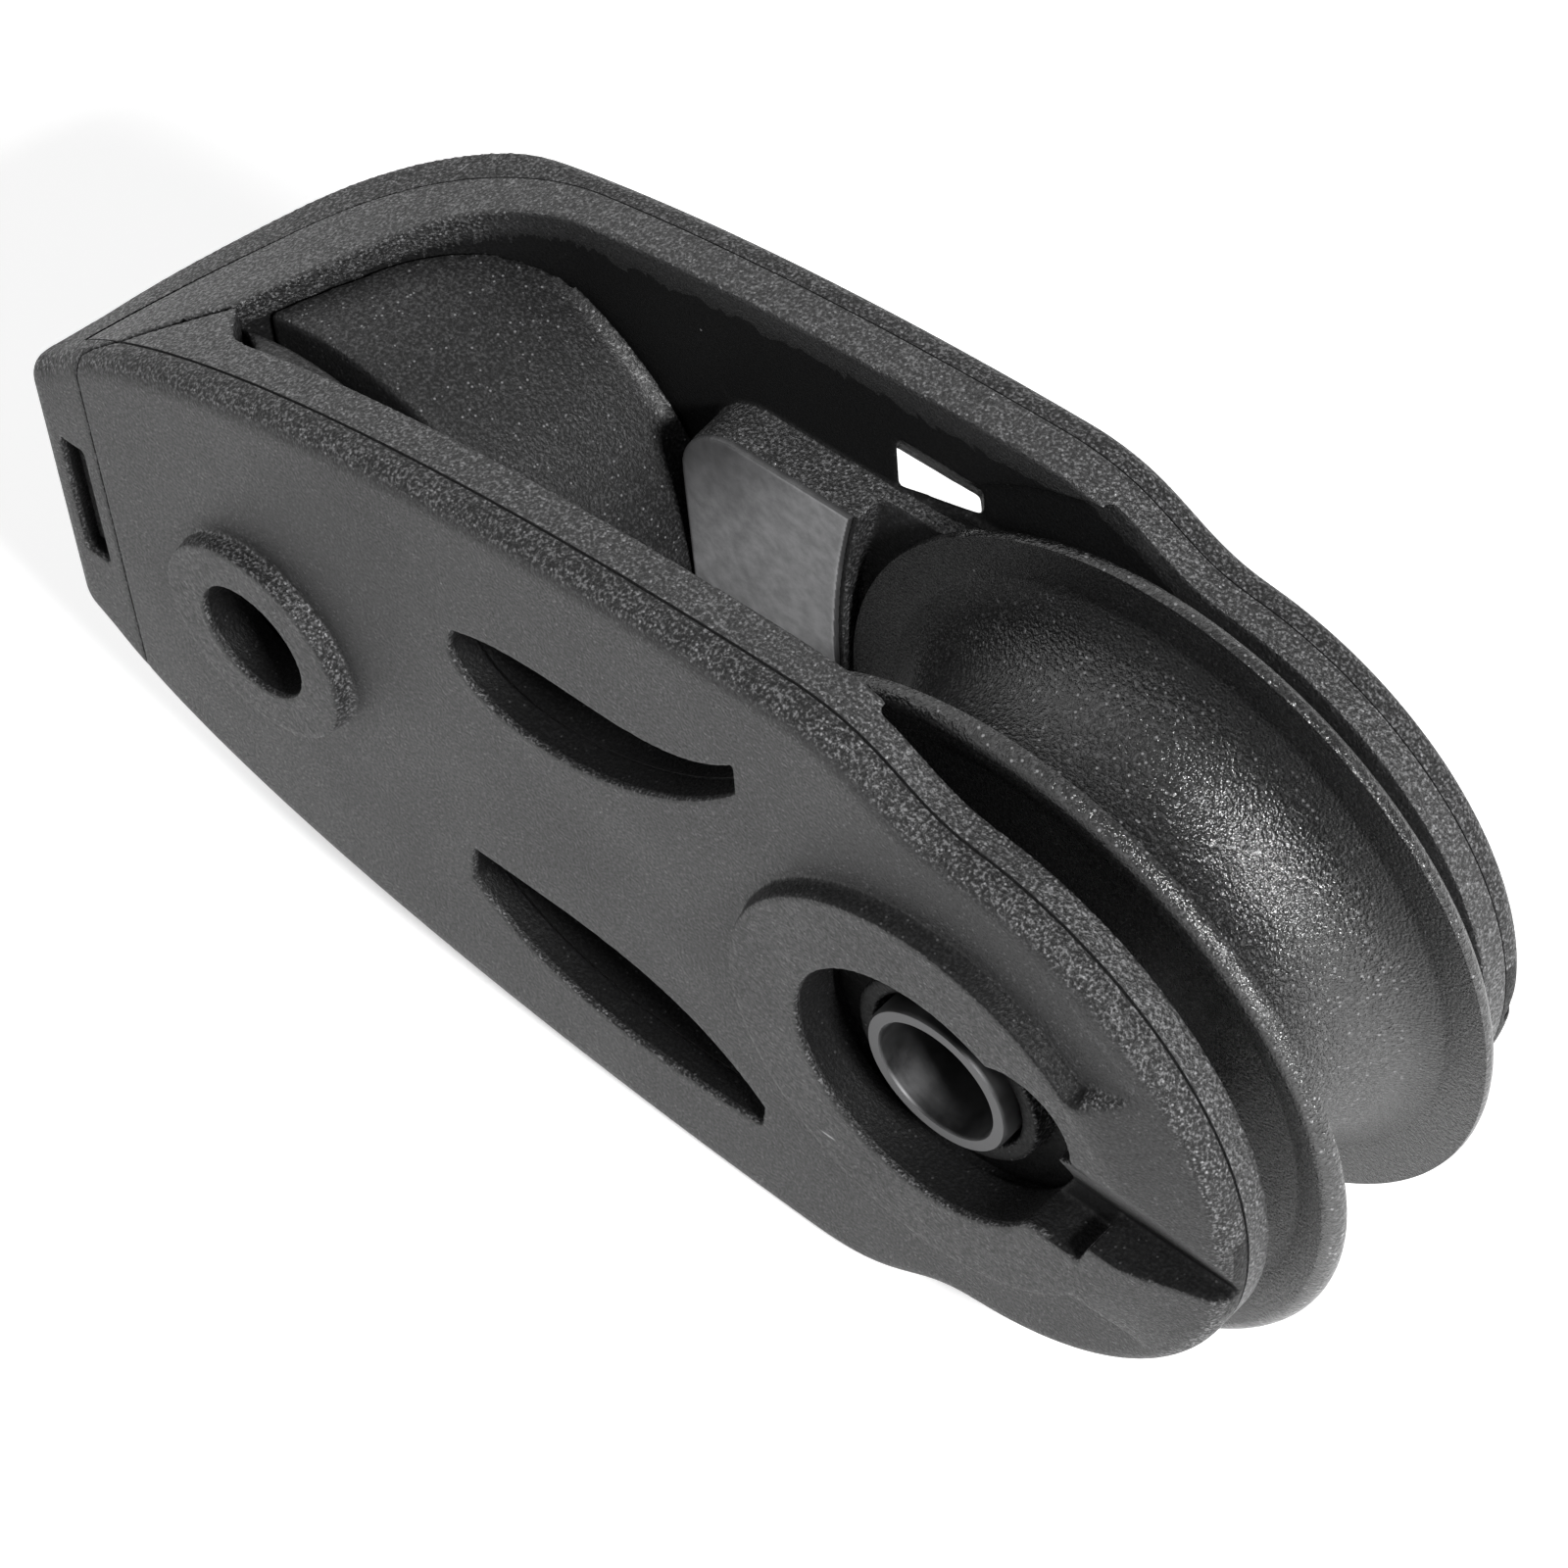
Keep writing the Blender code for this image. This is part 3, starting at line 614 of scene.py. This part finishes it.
def outline_tree(spacing=0.3):
    """A search tree of points along the cheek's outline, for the distance to its rim."""
    outline = cheek_outline()
    spots = []
    for (x0, z0), (x1, z1) in zip(outline, outline[1:] + outline[:1]):
        steps = max(1, int(math.hypot(x1 - x0, z1 - z0) / spacing))
        for step in range(steps):
            t = step / steps
            spots.append((x0 + (x1 - x0) * t, z0 + (z1 - z0) * t, 0.0))
    tree = kdtree.KDTree(len(spots))
    for index, spot in enumerate(spots):
        tree.insert(spot, index)
    tree.balance()
    return tree


def recess_shade_at(place, normal, rim):
    """How much painted shade a point of a cheek takes for lying in a recess or inside the block: 0
    on a face or a rim.
    """
    x, y, z = place
    from_axle = math.hypot(x, z)
    from_tail_bolt = math.hypot(x - TAIL_BOLT_X, z)
    on_boss = from_axle < BOSS_RADIUS - 1.6 or from_tail_bolt < SLEEVE_HOLE_RADIUS + 0.1
    below = (BOSS_HALF if on_boss else OUTER_HALF) - abs(y)
    outside_tail = abs(y) < OUTER_HALF - 0.5 and normal.x < -0.35 and x < -50
    far_corner = x < -48.0 and y > 8.0 and normal.y > 0.5
    on_guide = abs(y) < INNER_HALF - 0.2 and x > GUIDE_LEFT - 0.5
    on_show = outside_tail or far_corner or on_guide
    # Painted shade that grows with the depth below the face; none on the tail's outside, the far
    # corner, the guides or near the rim
    recess_shade = 0.0 if on_show else smoothstep(0.1, 0.5, below)
    recess_shade *= smoothstep(RIM_REACH - 0.5, RIM_REACH + 0.3, rim.find((x, z, 0.0))[2])
    # Painted shade in the nose channel, and a painted shadow along the steep wall of the axle's
    # boss
    in_channel = x > 9.0 and -5.2 < z < 2.0 and abs(y) > SEAM_HALF
    beside_boss = 13.1 < from_axle < 14.5 and x < 12.0 and abs(y) > OUTER_HALF
    if in_channel:
        slope = 1.0 if normal.z > 0.6 else smoothstep(-0.1, 1.4, OUTER_HALF - abs(y))
        return 0.95 * slope
    if beside_boss and abs(normal.y) < 0.93:
        return 0.9
    return recess_shade


def mark_recess_shade(item):
    """Writes the painted shade of each point, for the materials and for the choice of the shaded
    material.
    """
    rim = outline_tree()
    recess_shade = [recess_shade_at(corner.co / MM, corner.normal, rim) for corner in item.data.vertices]
    item.data.attributes.new("recess_shade", "FLOAT", "POINT").data.foreach_set("value", recess_shade)
    return item


def make_cheek(side, plan, cover_plan, frame_plan, *extra_cuts):
    prefix = "near" if side < 0 else "far"
    whole = whole_cheek(prefix + "_cheek", plan, side, *extra_cuts)
    outer = parted(whole, prefix + "_cover_skin", cover_plan)
    inner = parted(whole, prefix + "_frame_skin", frame_plan)
    bpy.data.objects.remove(whole, do_unlink=True)
    return outer, inner


def tail_slot():
    tools = bmesh.new()
    bmesh.ops.create_cube(tools, size=1.0)
    size = [side * MM for side in SLOT_SIZE]
    place = (SLOT_PLACE[0] * MM, -OUTER_HALF * MM, SLOT_PLACE[1] * MM)
    bmesh.ops.scale(tools, verts=tools.verts, vec=size)
    bmesh.ops.translate(tools, verts=tools.verts, vec=place)
    return finish_tools("tail_slot", tools)


# The other pieces -------------------------------------------------------------------------------


def cavity_plan(gap=0.3):
    """The plan of the space for the drum, a gap inside the cheeks' walls."""
    wall = shifted(slanted_wall(*CAVITY_CORNER, INNER_HALF - gap, 11.0), gap, 0.0)
    return wall + [(0.0, INNER_HALF - gap), (0.0, -INNER_HALF + gap), (-53.2, -INNER_HALF + gap)]


def make_drum(name, low, high):
    """Half of the drum, which swells a little where it meets the cheek's wall."""
    wall = high if high > 0 else low
    inner = high if wall == low else low
    edge = math.copysign(DRUM_EDGE, wall - inner)
    centre = (DRUM_RADIUS + DRUM_FLARE, abs(wall) - DRUM_FLARE)
    flare = arc(centre, DRUM_FLARE, 180, 90, 6)
    profile = [(SLEEVE_HOLE_RADIUS, inner), (DRUM_RADIUS - DRUM_EDGE, inner)]
    profile.append((DRUM_RADIUS, inner + edge))
    profile += [(radius, math.copysign(height, wall)) for radius, height in flare]
    profile.append((SLEEVE_HOLE_RADIUS, wall))
    item = turned(name, profile, 200, TAIL_BOLT_X)
    combine(item, "INTERSECT", plan_plate("cavity", cavity_plan()))
    return thin_out(soften(item, 0.22, 3))


def make_guide(name, side):
    """A guide pad. Its points carry how pale it is painted, for rope polishing and for painted
    light:
    most at mid height, by the wheel."""
    ends = sorted((side * PAD_BACK, side * PAD_HALF))
    item = side_plate(name, guide_outline(0.2, 40), *ends)
    thin_out(soften(item, 0.11, 3))
    polish_and_light = []
    for corner in item.data.vertices:
        along = (corner.co.x / MM - GUIDE_LEFT) / (GUIDE_END - GUIDE_LEFT)
        inwards = 1 - abs(corner.co.z / MM) / GUIDE_HALF_HEIGHT
        facing = smoothstep(0.75, 0.97, abs(corner.normal.y))
        polish_and_light.append(facing * smoothstep(0.1, 0.9, 0.75 * along + 0.9 * inwards))
    item.data.attributes.new("polish_and_light", "FLOAT", "POINT").data.foreach_set("value", polish_and_light)
    return item


def make_sheave():
    """The grooved wheel: two round lips, the rope's groove and a web with a raised hub ring."""
    lip_centre = (SHEAVE_RADIUS - SHEAVE_LIP_RADIUS, SHEAVE_HALF_WIDTH - SHEAVE_LIP_RADIUS)
    top_lip = arc(lip_centre, SHEAVE_LIP_RADIUS, 90, -20, 8)
    groove = arc((GROOVE_CENTRE, 0.0), GROOVE_RADIUS, 104, 256, 44)
    web = [(19.9, -6.6), (19.3, -6.2), (12.6, -6.2)]
    hub_ring = [(12.0, -6.75), (11.7, -6.9), (10.9, -6.9), (10.7, -6.7)]
    side = web + hub_ring
    profile = top_lip + groove + [(radius, -y) for radius, y in reversed(top_lip)]
    profile += side + [(radius, -y) for radius, y in reversed(side)]
    return turned("sheave_wheel_skin", profile, 220)


def make_axle():
    """The hollow axle, with a small chamfer at each end, outside and inside."""
    half = (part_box("hollow_axle")[1][1]) / MM
    profile = [
        (AXLE_RADIUS, half - 0.25),
        (AXLE_RADIUS, -half + 0.25),
        (AXLE_RADIUS - 0.13, -half),
        (AXLE_BORE + 0.12, -half),
        (AXLE_BORE, -half + 0.2),
        (AXLE_BORE, half - 0.2),
        (AXLE_BORE + 0.12, half),
        (AXLE_RADIUS - 0.13, half),
    ]
    return turned("axle_tube_skin", profile, 160)


def make_collar(name, side):
    """The flanged collar between the axle and a cheek."""
    flange_in, flange_out, sleeve_out = COLLAR_SPAN
    outline = [
        (COLLAR_SLEEVE_RADIUS, sleeve_out),
        (COLLAR_SLEEVE_RADIUS, flange_out),
        (COLLAR_FLANGE_RADIUS, flange_out),
        (COLLAR_FLANGE_RADIUS, flange_in),
        (COLLAR_BORE, flange_in),
        (COLLAR_BORE, sleeve_out),
    ]
    return turned(name, rounded([(radius, side * y) for radius, y in outline], 0.3), 128)


def make_latch():
    """The tongue in the tail slot, with its row of small teeth."""
    left, right = TONGUE_X
    low, high = TONGUE_Z
    outline = [(left, low), (right, low)]
    for index in range(TONGUE_TEETH):
        base = low + (high - low) * index / TONGUE_TEETH
        outline.append((right + TOOTH_DEPTH, base + 0.5 * (high - low) / TONGUE_TEETH))
        outline.append((right, base + (high - low) / TONGUE_TEETH))
    outline.append((left, high))
    item = side_plate("latch_tongue_skin", outline, *TONGUE_Y)
    use(item, "BEVEL", width=0.06 * MM, segments=2)
    apply(item)
    return item


# Materials --------------------------------------------------------------------------------------


class Nodes:
    """A node tree, with short calls for the nodes used here. Each value is a number or a socket."""

    def __init__(self, tree):
        self.tree = tree

    def give(self, socket, value):
        if isinstance(value, bpy.types.NodeSocket):
            self.tree.links.new(value, socket)
        else:
            socket.default_value = value

    def node(self, kind, inputs=None, **settings):
        made = self.tree.nodes.new(kind)
        for key, value in settings.items():
            setattr(made, key, value)
        for key, value in (inputs or {}).items():
            self.give(made.inputs[key], value)
        return made

    def remap(self, value, low, high, to_low=0.0, to_high=1.0):
        inputs = {"Value": value, "From Min": low, "From Max": high}
        inputs.update({"To Min": to_low, "To Max": to_high})
        return self.node("ShaderNodeMapRange", inputs).outputs["Result"]

    def math(self, operation, first, second=0.0):
        made = self.node("ShaderNodeMath", operation=operation)
        self.give(made.inputs[0], first)
        self.give(made.inputs[1], second)
        return made.outputs[0]

    def mix(self, factor, first, second):
        inputs = {0: factor, 6: first, 7: second}
        return self.node("ShaderNodeMix", inputs, data_type="RGBA").outputs[2]


class Paint(Nodes):
    """A new material, painted in the object's own coordinates."""

    def __init__(self, name):
        self.material = bpy.data.materials.new(name)
        self.material.use_nodes = True
        super().__init__(self.material.node_tree)
        self.shader = self.tree.nodes["Principled BSDF"]
        self.place = self.node("ShaderNodeTexCoord").outputs["Object"]

    def noise(self, size, detail=3.0, rough=0.55, place=None):
        """A noise whose features are about size millimetres."""
        inputs = {"Vector": place or self.place, "Scale": 1000.0 / size}
        inputs.update({"Detail": detail, "Roughness": rough})
        return self.node("ShaderNodeTexNoise", inputs).outputs["Fac"]

    def cells(self, scale, place=None):
        """Scattered cells: the distance from each one's middle, and its random colour's parts."""
        inputs = {"Vector": place or self.place, "Scale": scale}
        cells = self.node("ShaderNodeTexVoronoi", inputs).outputs
        parts = self.node("ShaderNodeSeparateColor", {"Color": cells["Color"]}).outputs
        return cells["Distance"], parts

    def attribute(self, name):
        return self.node("ShaderNodeAttribute", attribute_name=name).outputs["Fac"]

    def stretched(self, scale, turn=(0.0, 0.0, 0.0)):
        inputs = {"Vector": self.place, "Rotation": turn, "Scale": scale}
        return self.node("ShaderNodeMapping", inputs).outputs["Vector"]

    def set(self, **values):
        """Gives the shader's sockets their values; an underscore stands for a space."""
        for name, value in values.items():
            self.give(self.shader.inputs[name.replace("_", " ")], value)

    def bump(self, height, strength, distance):
        """Lets the surface follow a height, over a distance in millimetres."""
        inputs = {"Height": height, "Strength": strength, "Distance": distance * MM}
        self.set(Normal=self.node("ShaderNodeBump", inputs).outputs["Normal"])


def grey(value, tint=1.02):
    return (value, value, value * tint, 1.0)


def fibres(paint, rarity=0.978):
    """Short pale fibre ends that lie in the surface, as glass-filled nylon shows."""
    found = None
    for scale, turn in (((1.0, 0.16, 1.0), (0.3, 0.5, 0.4)), ((0.16, 1.0, 1.0), (0.9, 0.2, 1.3))):
        distance, chance = paint.cells(900.0, paint.stretched(scale, turn))
        near = paint.remap(distance, 0.05, 0.09, 1.0, 0.0)
        dash = paint.math("MULTIPLY", near, paint.math("GREATER_THAN", chance[0], rarity))
        found = dash if found is None else paint.math("MAXIMUM", found, dash)
    return found


def painted_glints(paint, size, sparkle, flat):
    """Painted highlights on single grains, as if they caught the light, fewer and weaker on the
    flat faces.
    """
    distance, chance = paint.cells(1000.0 / (size * 1.1))
    chosen = paint.math("GREATER_THAN", chance[1], 1.0 - 0.16 * sparkle)
    painted_glint = paint.math("MULTIPLY", chosen, paint.remap(distance, 0.22, 0.42, 1.0, 0.0))
    return paint.math("MULTIPLY", painted_glint, paint.remap(flat, 0.0, 1.0, 1.0, 0.25))


def moulded(
    name,
    base,
    roughness,
    face_grain,
    rim_grain,
    size=0.2,
    sparkle=0.3,
    edge_highlight_share=0.3,
    pale=0.1,
    specular=0.5,
):
    """Black glass-filled nylon. Its flat faces have a fine even texture, and its rims and round
    sides a coarser pebble grain, and short pale fibres show. Some grains are painted pale as
    painted highlights, and the sharp edges are painted lighter as a painted highlight. Where a
    cheek lies in a recess or inside the block it is painted darker, as painted shade."""
    paint = Paint(name)
    broad = paint.noise(11.0, 4.0, 0.6)
    fine = paint.noise(0.16, 3.0, 0.6)
    pebble = paint.noise(size, 2.0, 0.6)
    normal = paint.node("ShaderNodeTexCoord").outputs["Normal"]
    sideways = paint.node("ShaderNodeSeparateXYZ", {"Vector": normal}).outputs["Y"]
    flat = paint.remap(paint.math("ABSOLUTE", sideways), 0.75, 0.95)
    tone = paint.mix(paint.remap(broad, 0.32, 0.68), grey(base * 0.85), grey(base * 1.15))
    tone = paint.mix(paint.remap(fine, 0.5, 0.72, 0.0, 0.7), tone, grey(base * 2.2))
    tone = paint.mix(paint.remap(fine, 0.46, 0.34, 0.0, 0.8), tone, grey(base * 0.3))
    rim_tone = paint.mix(paint.remap(pebble, 0.52, 0.66, 0.0, 0.9), tone, grey(base * 1.5 + pale))
    rim_tone = paint.mix(paint.remap(pebble, 0.48, 0.38, 0.0, 0.9), rim_tone, grey(base * 0.2))
    tone = paint.mix(flat, rim_tone, tone)
    # Painted highlight: the sharp edges are painted lighter where light would catch them
    edge = paint.remap(paint.node("ShaderNodeNewGeometry").outputs["Pointiness"], 0.53, 0.62)
    edge_highlight = paint.math("MULTIPLY", edge, paint.remap(pebble, 0.40, 0.6))
    # Painted highlights on single grains, which are also made a little smoother below
    painted_glint = painted_glints(paint, size, sparkle, flat)
    dashes = fibres(paint)
    # Over the tone: the painted edge highlight, the painted grain highlights, painted shade in
    # recesses, and the pale fibres
    for mask, share, shade_of in (
        (edge_highlight, edge_highlight_share, grey(base * 3.0 + 0.03)),
        (painted_glint, 0.7, grey(0.26)),
        (paint.attribute("recess_shade"), 0.8, grey(base * 0.4)),
        (dashes, 0.6, grey(0.4)),
    ):
        tone = paint.mix(paint.math("MULTIPLY", mask, share), tone, shade_of)
    rough = paint.remap(broad, 0.32, 0.68, roughness - 0.05, roughness + 0.05)
    rough = paint.math("ADD", rough, paint.remap(pebble, 0.35, 0.65, 0.12, -0.12))
    rough = paint.math("SUBTRACT", rough, paint.math("MULTIPLY", painted_glint, 0.2))
    paint.set(Base_Color=tone, Roughness=rough)
    coarse = paint.math("MULTIPLY", paint.remap(pebble, 0.3, 0.7), rim_grain)
    even = paint.math("MULTIPLY", paint.remap(fine, 0.3, 0.7), face_grain)
    height = paint.node("ShaderNodeMix", {0: flat, 2: coarse, 3: even}).outputs[0]
    paint.bump(paint.math("ADD", height, paint.math("MULTIPLY", dashes, 0.3)), 1.0, 0.05)
    paint.shader.inputs["Specular IOR Level"].default_value = specular
    return paint.material


def satin(name, base, polished_and_lit, roughness):
    """The smooth face of the rope guides: dark satin plastic, painted paler and cloudy where the
    rope keeps polishing it and where light falls on it: rope polishing and painted light together.
    """
    paint = Paint(name)
    flow = paint.noise(3.0, 4.0, 0.6, paint.stretched((1.0, 1.0, 0.35), (0.0, 0.2, 0.0)))
    cloud = paint.noise(0.9, 4.0, 0.65)
    drift = paint.remap(flow, 0.3, 0.7, -0.1, 0.1)
    pale = paint.mix(paint.remap(cloud, 0.35, 0.65), grey(polished_and_lit * 0.78), grey(polished_and_lit * 1.15))
    dark = paint.mix(paint.remap(flow, 0.3, 0.7), grey(base * 0.8), grey(base * 1.25))
    paint.set(
        Base_Color=paint.mix(paint.math("ADD", paint.attribute("polish_and_light"), drift), dark, pale),
        Roughness=paint.remap(flow, 0.3, 0.7, roughness - 0.06, roughness + 0.08),
    )
    paint.bump(paint.noise(0.3, 4.0, 0.6), 0.3, 0.03)
    return paint.material


def steel(name, base, roughness):
    """Turned stainless steel, with fine rings from the tool and a dull film."""
    paint = Paint(name)
    rings = paint.noise(0.25, 2.0, 0.5, paint.stretched((0.05, 1.0, 0.05)))
    film = paint.noise(2.0, 4.0, 0.6)
    paint.set(
        Base_Color=paint.mix(paint.remap(film, 0.3, 0.7), grey(base * 0.75), grey(base * 1.15)),
        Metallic=1.0,
        Roughness=paint.remap(film, 0.3, 0.7, roughness - 0.08, roughness + 0.1),
    )
    paint.bump(rings, 0.3, 0.02)
    return paint.material


def pale_plastic(name, base, roughness):
    """The acetal of the cage and the washers, with a faint film."""
    paint = Paint(name)
    film = paint.remap(paint.noise(2.5, 4.0, 0.6), 0.3, 0.7)
    paint.set(
        Base_Color=paint.mix(film, grey(base * 0.9, 0.97), grey(base * 1.05, 0.98)),
        Roughness=paint.remap(film, 0.0, 1.0, roughness - 0.05, roughness + 0.08),
    )
    paint.bump(paint.noise(0.3), 0.2, 0.03)
    return paint.material


# Putting it together ----------------------------------------------------------------------------


def settle(item, body, slot, material, *nodes, deep=None):
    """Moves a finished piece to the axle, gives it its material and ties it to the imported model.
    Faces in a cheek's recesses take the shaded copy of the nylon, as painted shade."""
    item.data.transform(PLACE)
    item.data.materials.clear()
    item.data.materials.append(material)
    if deep:
        item.data.materials.append(deep)
        recess_shade = item.data.attributes["recess_shade"].data
        for face in item.data.polygons:
            # Faces deep in painted shade take the shaded copy of the nylon
            face.material_index = int(min(recess_shade[index].value for index in face.vertices) > 0.7)
    shade(item)
    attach(item, body)
    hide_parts(*nodes)


def repaint(node, material):
    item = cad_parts[node]
    item.data.materials.clear()
    item.data.materials.append(material)


def make_camera():
    data = bpy.data.cameras.new("camera")
    data.lens = CAMERA_LENS
    data.sensor_width = 36.0
    camera = bpy.data.objects.new("camera", data)
    camera.location = CAMERA_PLACE
    camera.rotation_euler = Euler([math.radians(turn) for turn in CAMERA_TURN])
    bpy.context.scene.collection.objects.link(camera)
    bpy.context.scene.camera = camera


def area_light(name, place, size, power, target):
    data = bpy.data.lights.new(name, "AREA")
    data.shape = "RECTANGLE"
    data.size, data.size_y = size
    data.energy = power
    light = bpy.data.objects.new(name, data)
    light.location = place
    light.rotation_euler = (Vector(target) - Vector(place)).to_track_quat("-Z", "Y").to_euler()
    bpy.context.scene.collection.objects.link(light)


def make_floor():
    """A white table that glows like a lit sweep."""
    tools = bmesh.new()
    bmesh.ops.create_grid(tools, x_segments=1, y_segments=1, size=3.0)
    floor = finish_tools("floor", tools)
    paint = Paint("pale_floor")
    paint.set(
        Base_Color=paint.mix(paint.noise(400.0), grey(0.90, 1.0), grey(0.93, 1.0)),
        Roughness=0.9,
        Emission_Color=WHITE,
        Emission_Strength=FLOOR_GLOW,
    )
    floor.data.materials.append(paint.material)


def make_studio():
    """Walls that are bright on the tail's side, a softly darker ceiling and a lamp off the nose."""
    world = bpy.data.worlds.new("studio")
    world.use_nodes = True
    sky = Nodes(world.node_tree)
    place = sky.node("ShaderNodeTexCoord").outputs["Generated"]
    way = sky.node("ShaderNodeSeparateXYZ", {"Vector": place}).outputs
    walls = sky.remap(way["X"], -0.5, 0.4, LEFT_WALL_LIGHT, RIGHT_WALL_LIGHT)
    background = sky.tree.nodes["Background"].inputs
    sky.give(background["Strength"], sky.remap(way["Z"], 0.78, 1.0, walls, CEILING_LIGHT))
    sky.give(background["Color"], WHITE)
    bpy.context.scene.world = world
    bpy.context.scene.view_settings.view_transform = "Standard"
    area_light("nose_lamp", LAMP_PLACE, LAMP_SIZE, LAMP_POWER, AXLE)


def make_materials():
    """Each material of the block, under a short name."""
    return {
        "nylon": moulded(
            "black_nylon",
            base=0.017,
            roughness=0.5,
            face_grain=0.8,
            rim_grain=1.2,
            sparkle=0.6,
            pale=0.11,
            specular=0.31,
        ),
        "frame": moulded(
            "frame_nylon",
            base=0.021,
            roughness=0.44,
            face_grain=1.0,
            rim_grain=1.4,
            sparkle=0.9,
            specular=0.55,
        ),
        "wheel": moulded(
            "sheave_nylon",
            base=0.008,
            roughness=0.2,
            face_grain=1.1,
            rim_grain=1.15,
            size=0.24,
            sparkle=0.5,
            edge_highlight_share=0.1,
            pale=0.04,
            specular=0.8,
        ),
        "drum": moulded(
            "drum_nylon",
            base=0.013,
            roughness=0.46,
            face_grain=0.45,
            rim_grain=0.5,
            pale=0.035,
            specular=0.42,
        ),
        # Near black and hardly shiny, for the collars and the latch deep in the hub recess and the
        # tail slot: painted shade
        "dark": moulded(
            "shaded_collar_nylon",
            base=0.004,
            roughness=0.5,
            face_grain=0.4,
            rim_grain=0.4,
            sparkle=0.1,
            specular=0.1,
        ),
        # A darker, less shiny copy of the nylon for the cheeks' recesses: painted shade
        "deep": moulded(
            "recess_shaded_nylon",
            base=0.016,
            roughness=0.5,
            face_grain=0.4,
            rim_grain=0.6,
            pale=0.03,
            specular=0.12,
        ),
        # The guides' pale tone stands for rope polishing and for the light that falls on them:
        # painted light together with rope polishing
        "guide": satin("guide_plastic", base=0.05, polished_and_lit=0.40, roughness=0.4),
        "metal": steel("stainless_steel", base=0.10, roughness=0.5),
        # A near-black steel for the tail bolt's sleeve: painted shade in its bore
        "bore_shade_steel": steel("bore_shade_dark_steel", base=0.012, roughness=0.5),
        "acetal": pale_plastic("acetal", base=0.6, roughness=0.4),
    }


def main():
    make_camera()
    make_floor()
    make_studio()
    paints = make_materials()
    block = "block_body"

    near_seam = -SEAM_HALF - SEAM_WIDTH
    near_layers = (near_part(-20, near_seam), near_part(near_seam + 2 * SEAM_WIDTH, 0))
    near_cover, near_frame = make_cheek(-1, near_cheek_plan(), *near_layers)
    far_layers = (far_cover_part(), far_frame_part())
    far_cover, far_frame = make_cheek(1, far_cheek_plan(), *far_layers, tail_slot())
    for item, paint, node in (
        (near_cover, "nylon", "near_cheek_cover"),
        (near_frame, "frame", "near_cheek_frame"),
        (far_cover, "nylon", "far_cheek_cover"),
        (far_frame, "frame", "far_cheek_frame"),
    ):
        # The cheeks' recesses take the shaded nylon: painted shade
        settle(item, block, "black_nylon", paints[paint], node, deep=paints["deep"])

    near_drum = make_drum("near_drum_skin", *NEAR_DRUM)
    far_drum = make_drum("far_drum_skin", *FAR_DRUM)
    settle(near_drum, block, "black_nylon", paints["drum"], "near_tail_drum")
    settle(far_drum, block, "black_nylon", paints["drum"], "far_tail_drum")
    for prefix, side in SIDES:
        guide = make_guide(prefix + "_guide_skin", side)
        settle(guide, block, "guide_plastic", paints["guide"], prefix + "_guide_pad")
    settle(make_sheave(), "sheave_wheel", "sheave_plastic", paints["wheel"], "sheave")
    settle(make_axle(), block, "stainless_steel", paints["metal"], "hollow_axle")
    # The collars and the latch take the near-black nylon: painted shade in the hub recess and the
    # tail slot
    for prefix, side in SIDES:
        collar = make_collar(prefix + "_collar_skin", side)
        settle(collar, block, "black_nylon", paints["dark"], prefix + "_hub_collar")
    settle(make_latch(), block, "black_nylon", paints["dark"], "tail_latch_tongue")

    # The tail bolt's sleeve is painted near black, as painted shade in the bore
    repaint("tail_bolt_sleeve", paints["bore_shade_steel"])
    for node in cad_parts:
        if node.startswith("bearing_"):
            repaint(node, paints["metal"])
    for node in ("roller_cage", "near_thrust_washer", "far_thrust_washer"):
        repaint(node, paints["acetal"])


main()
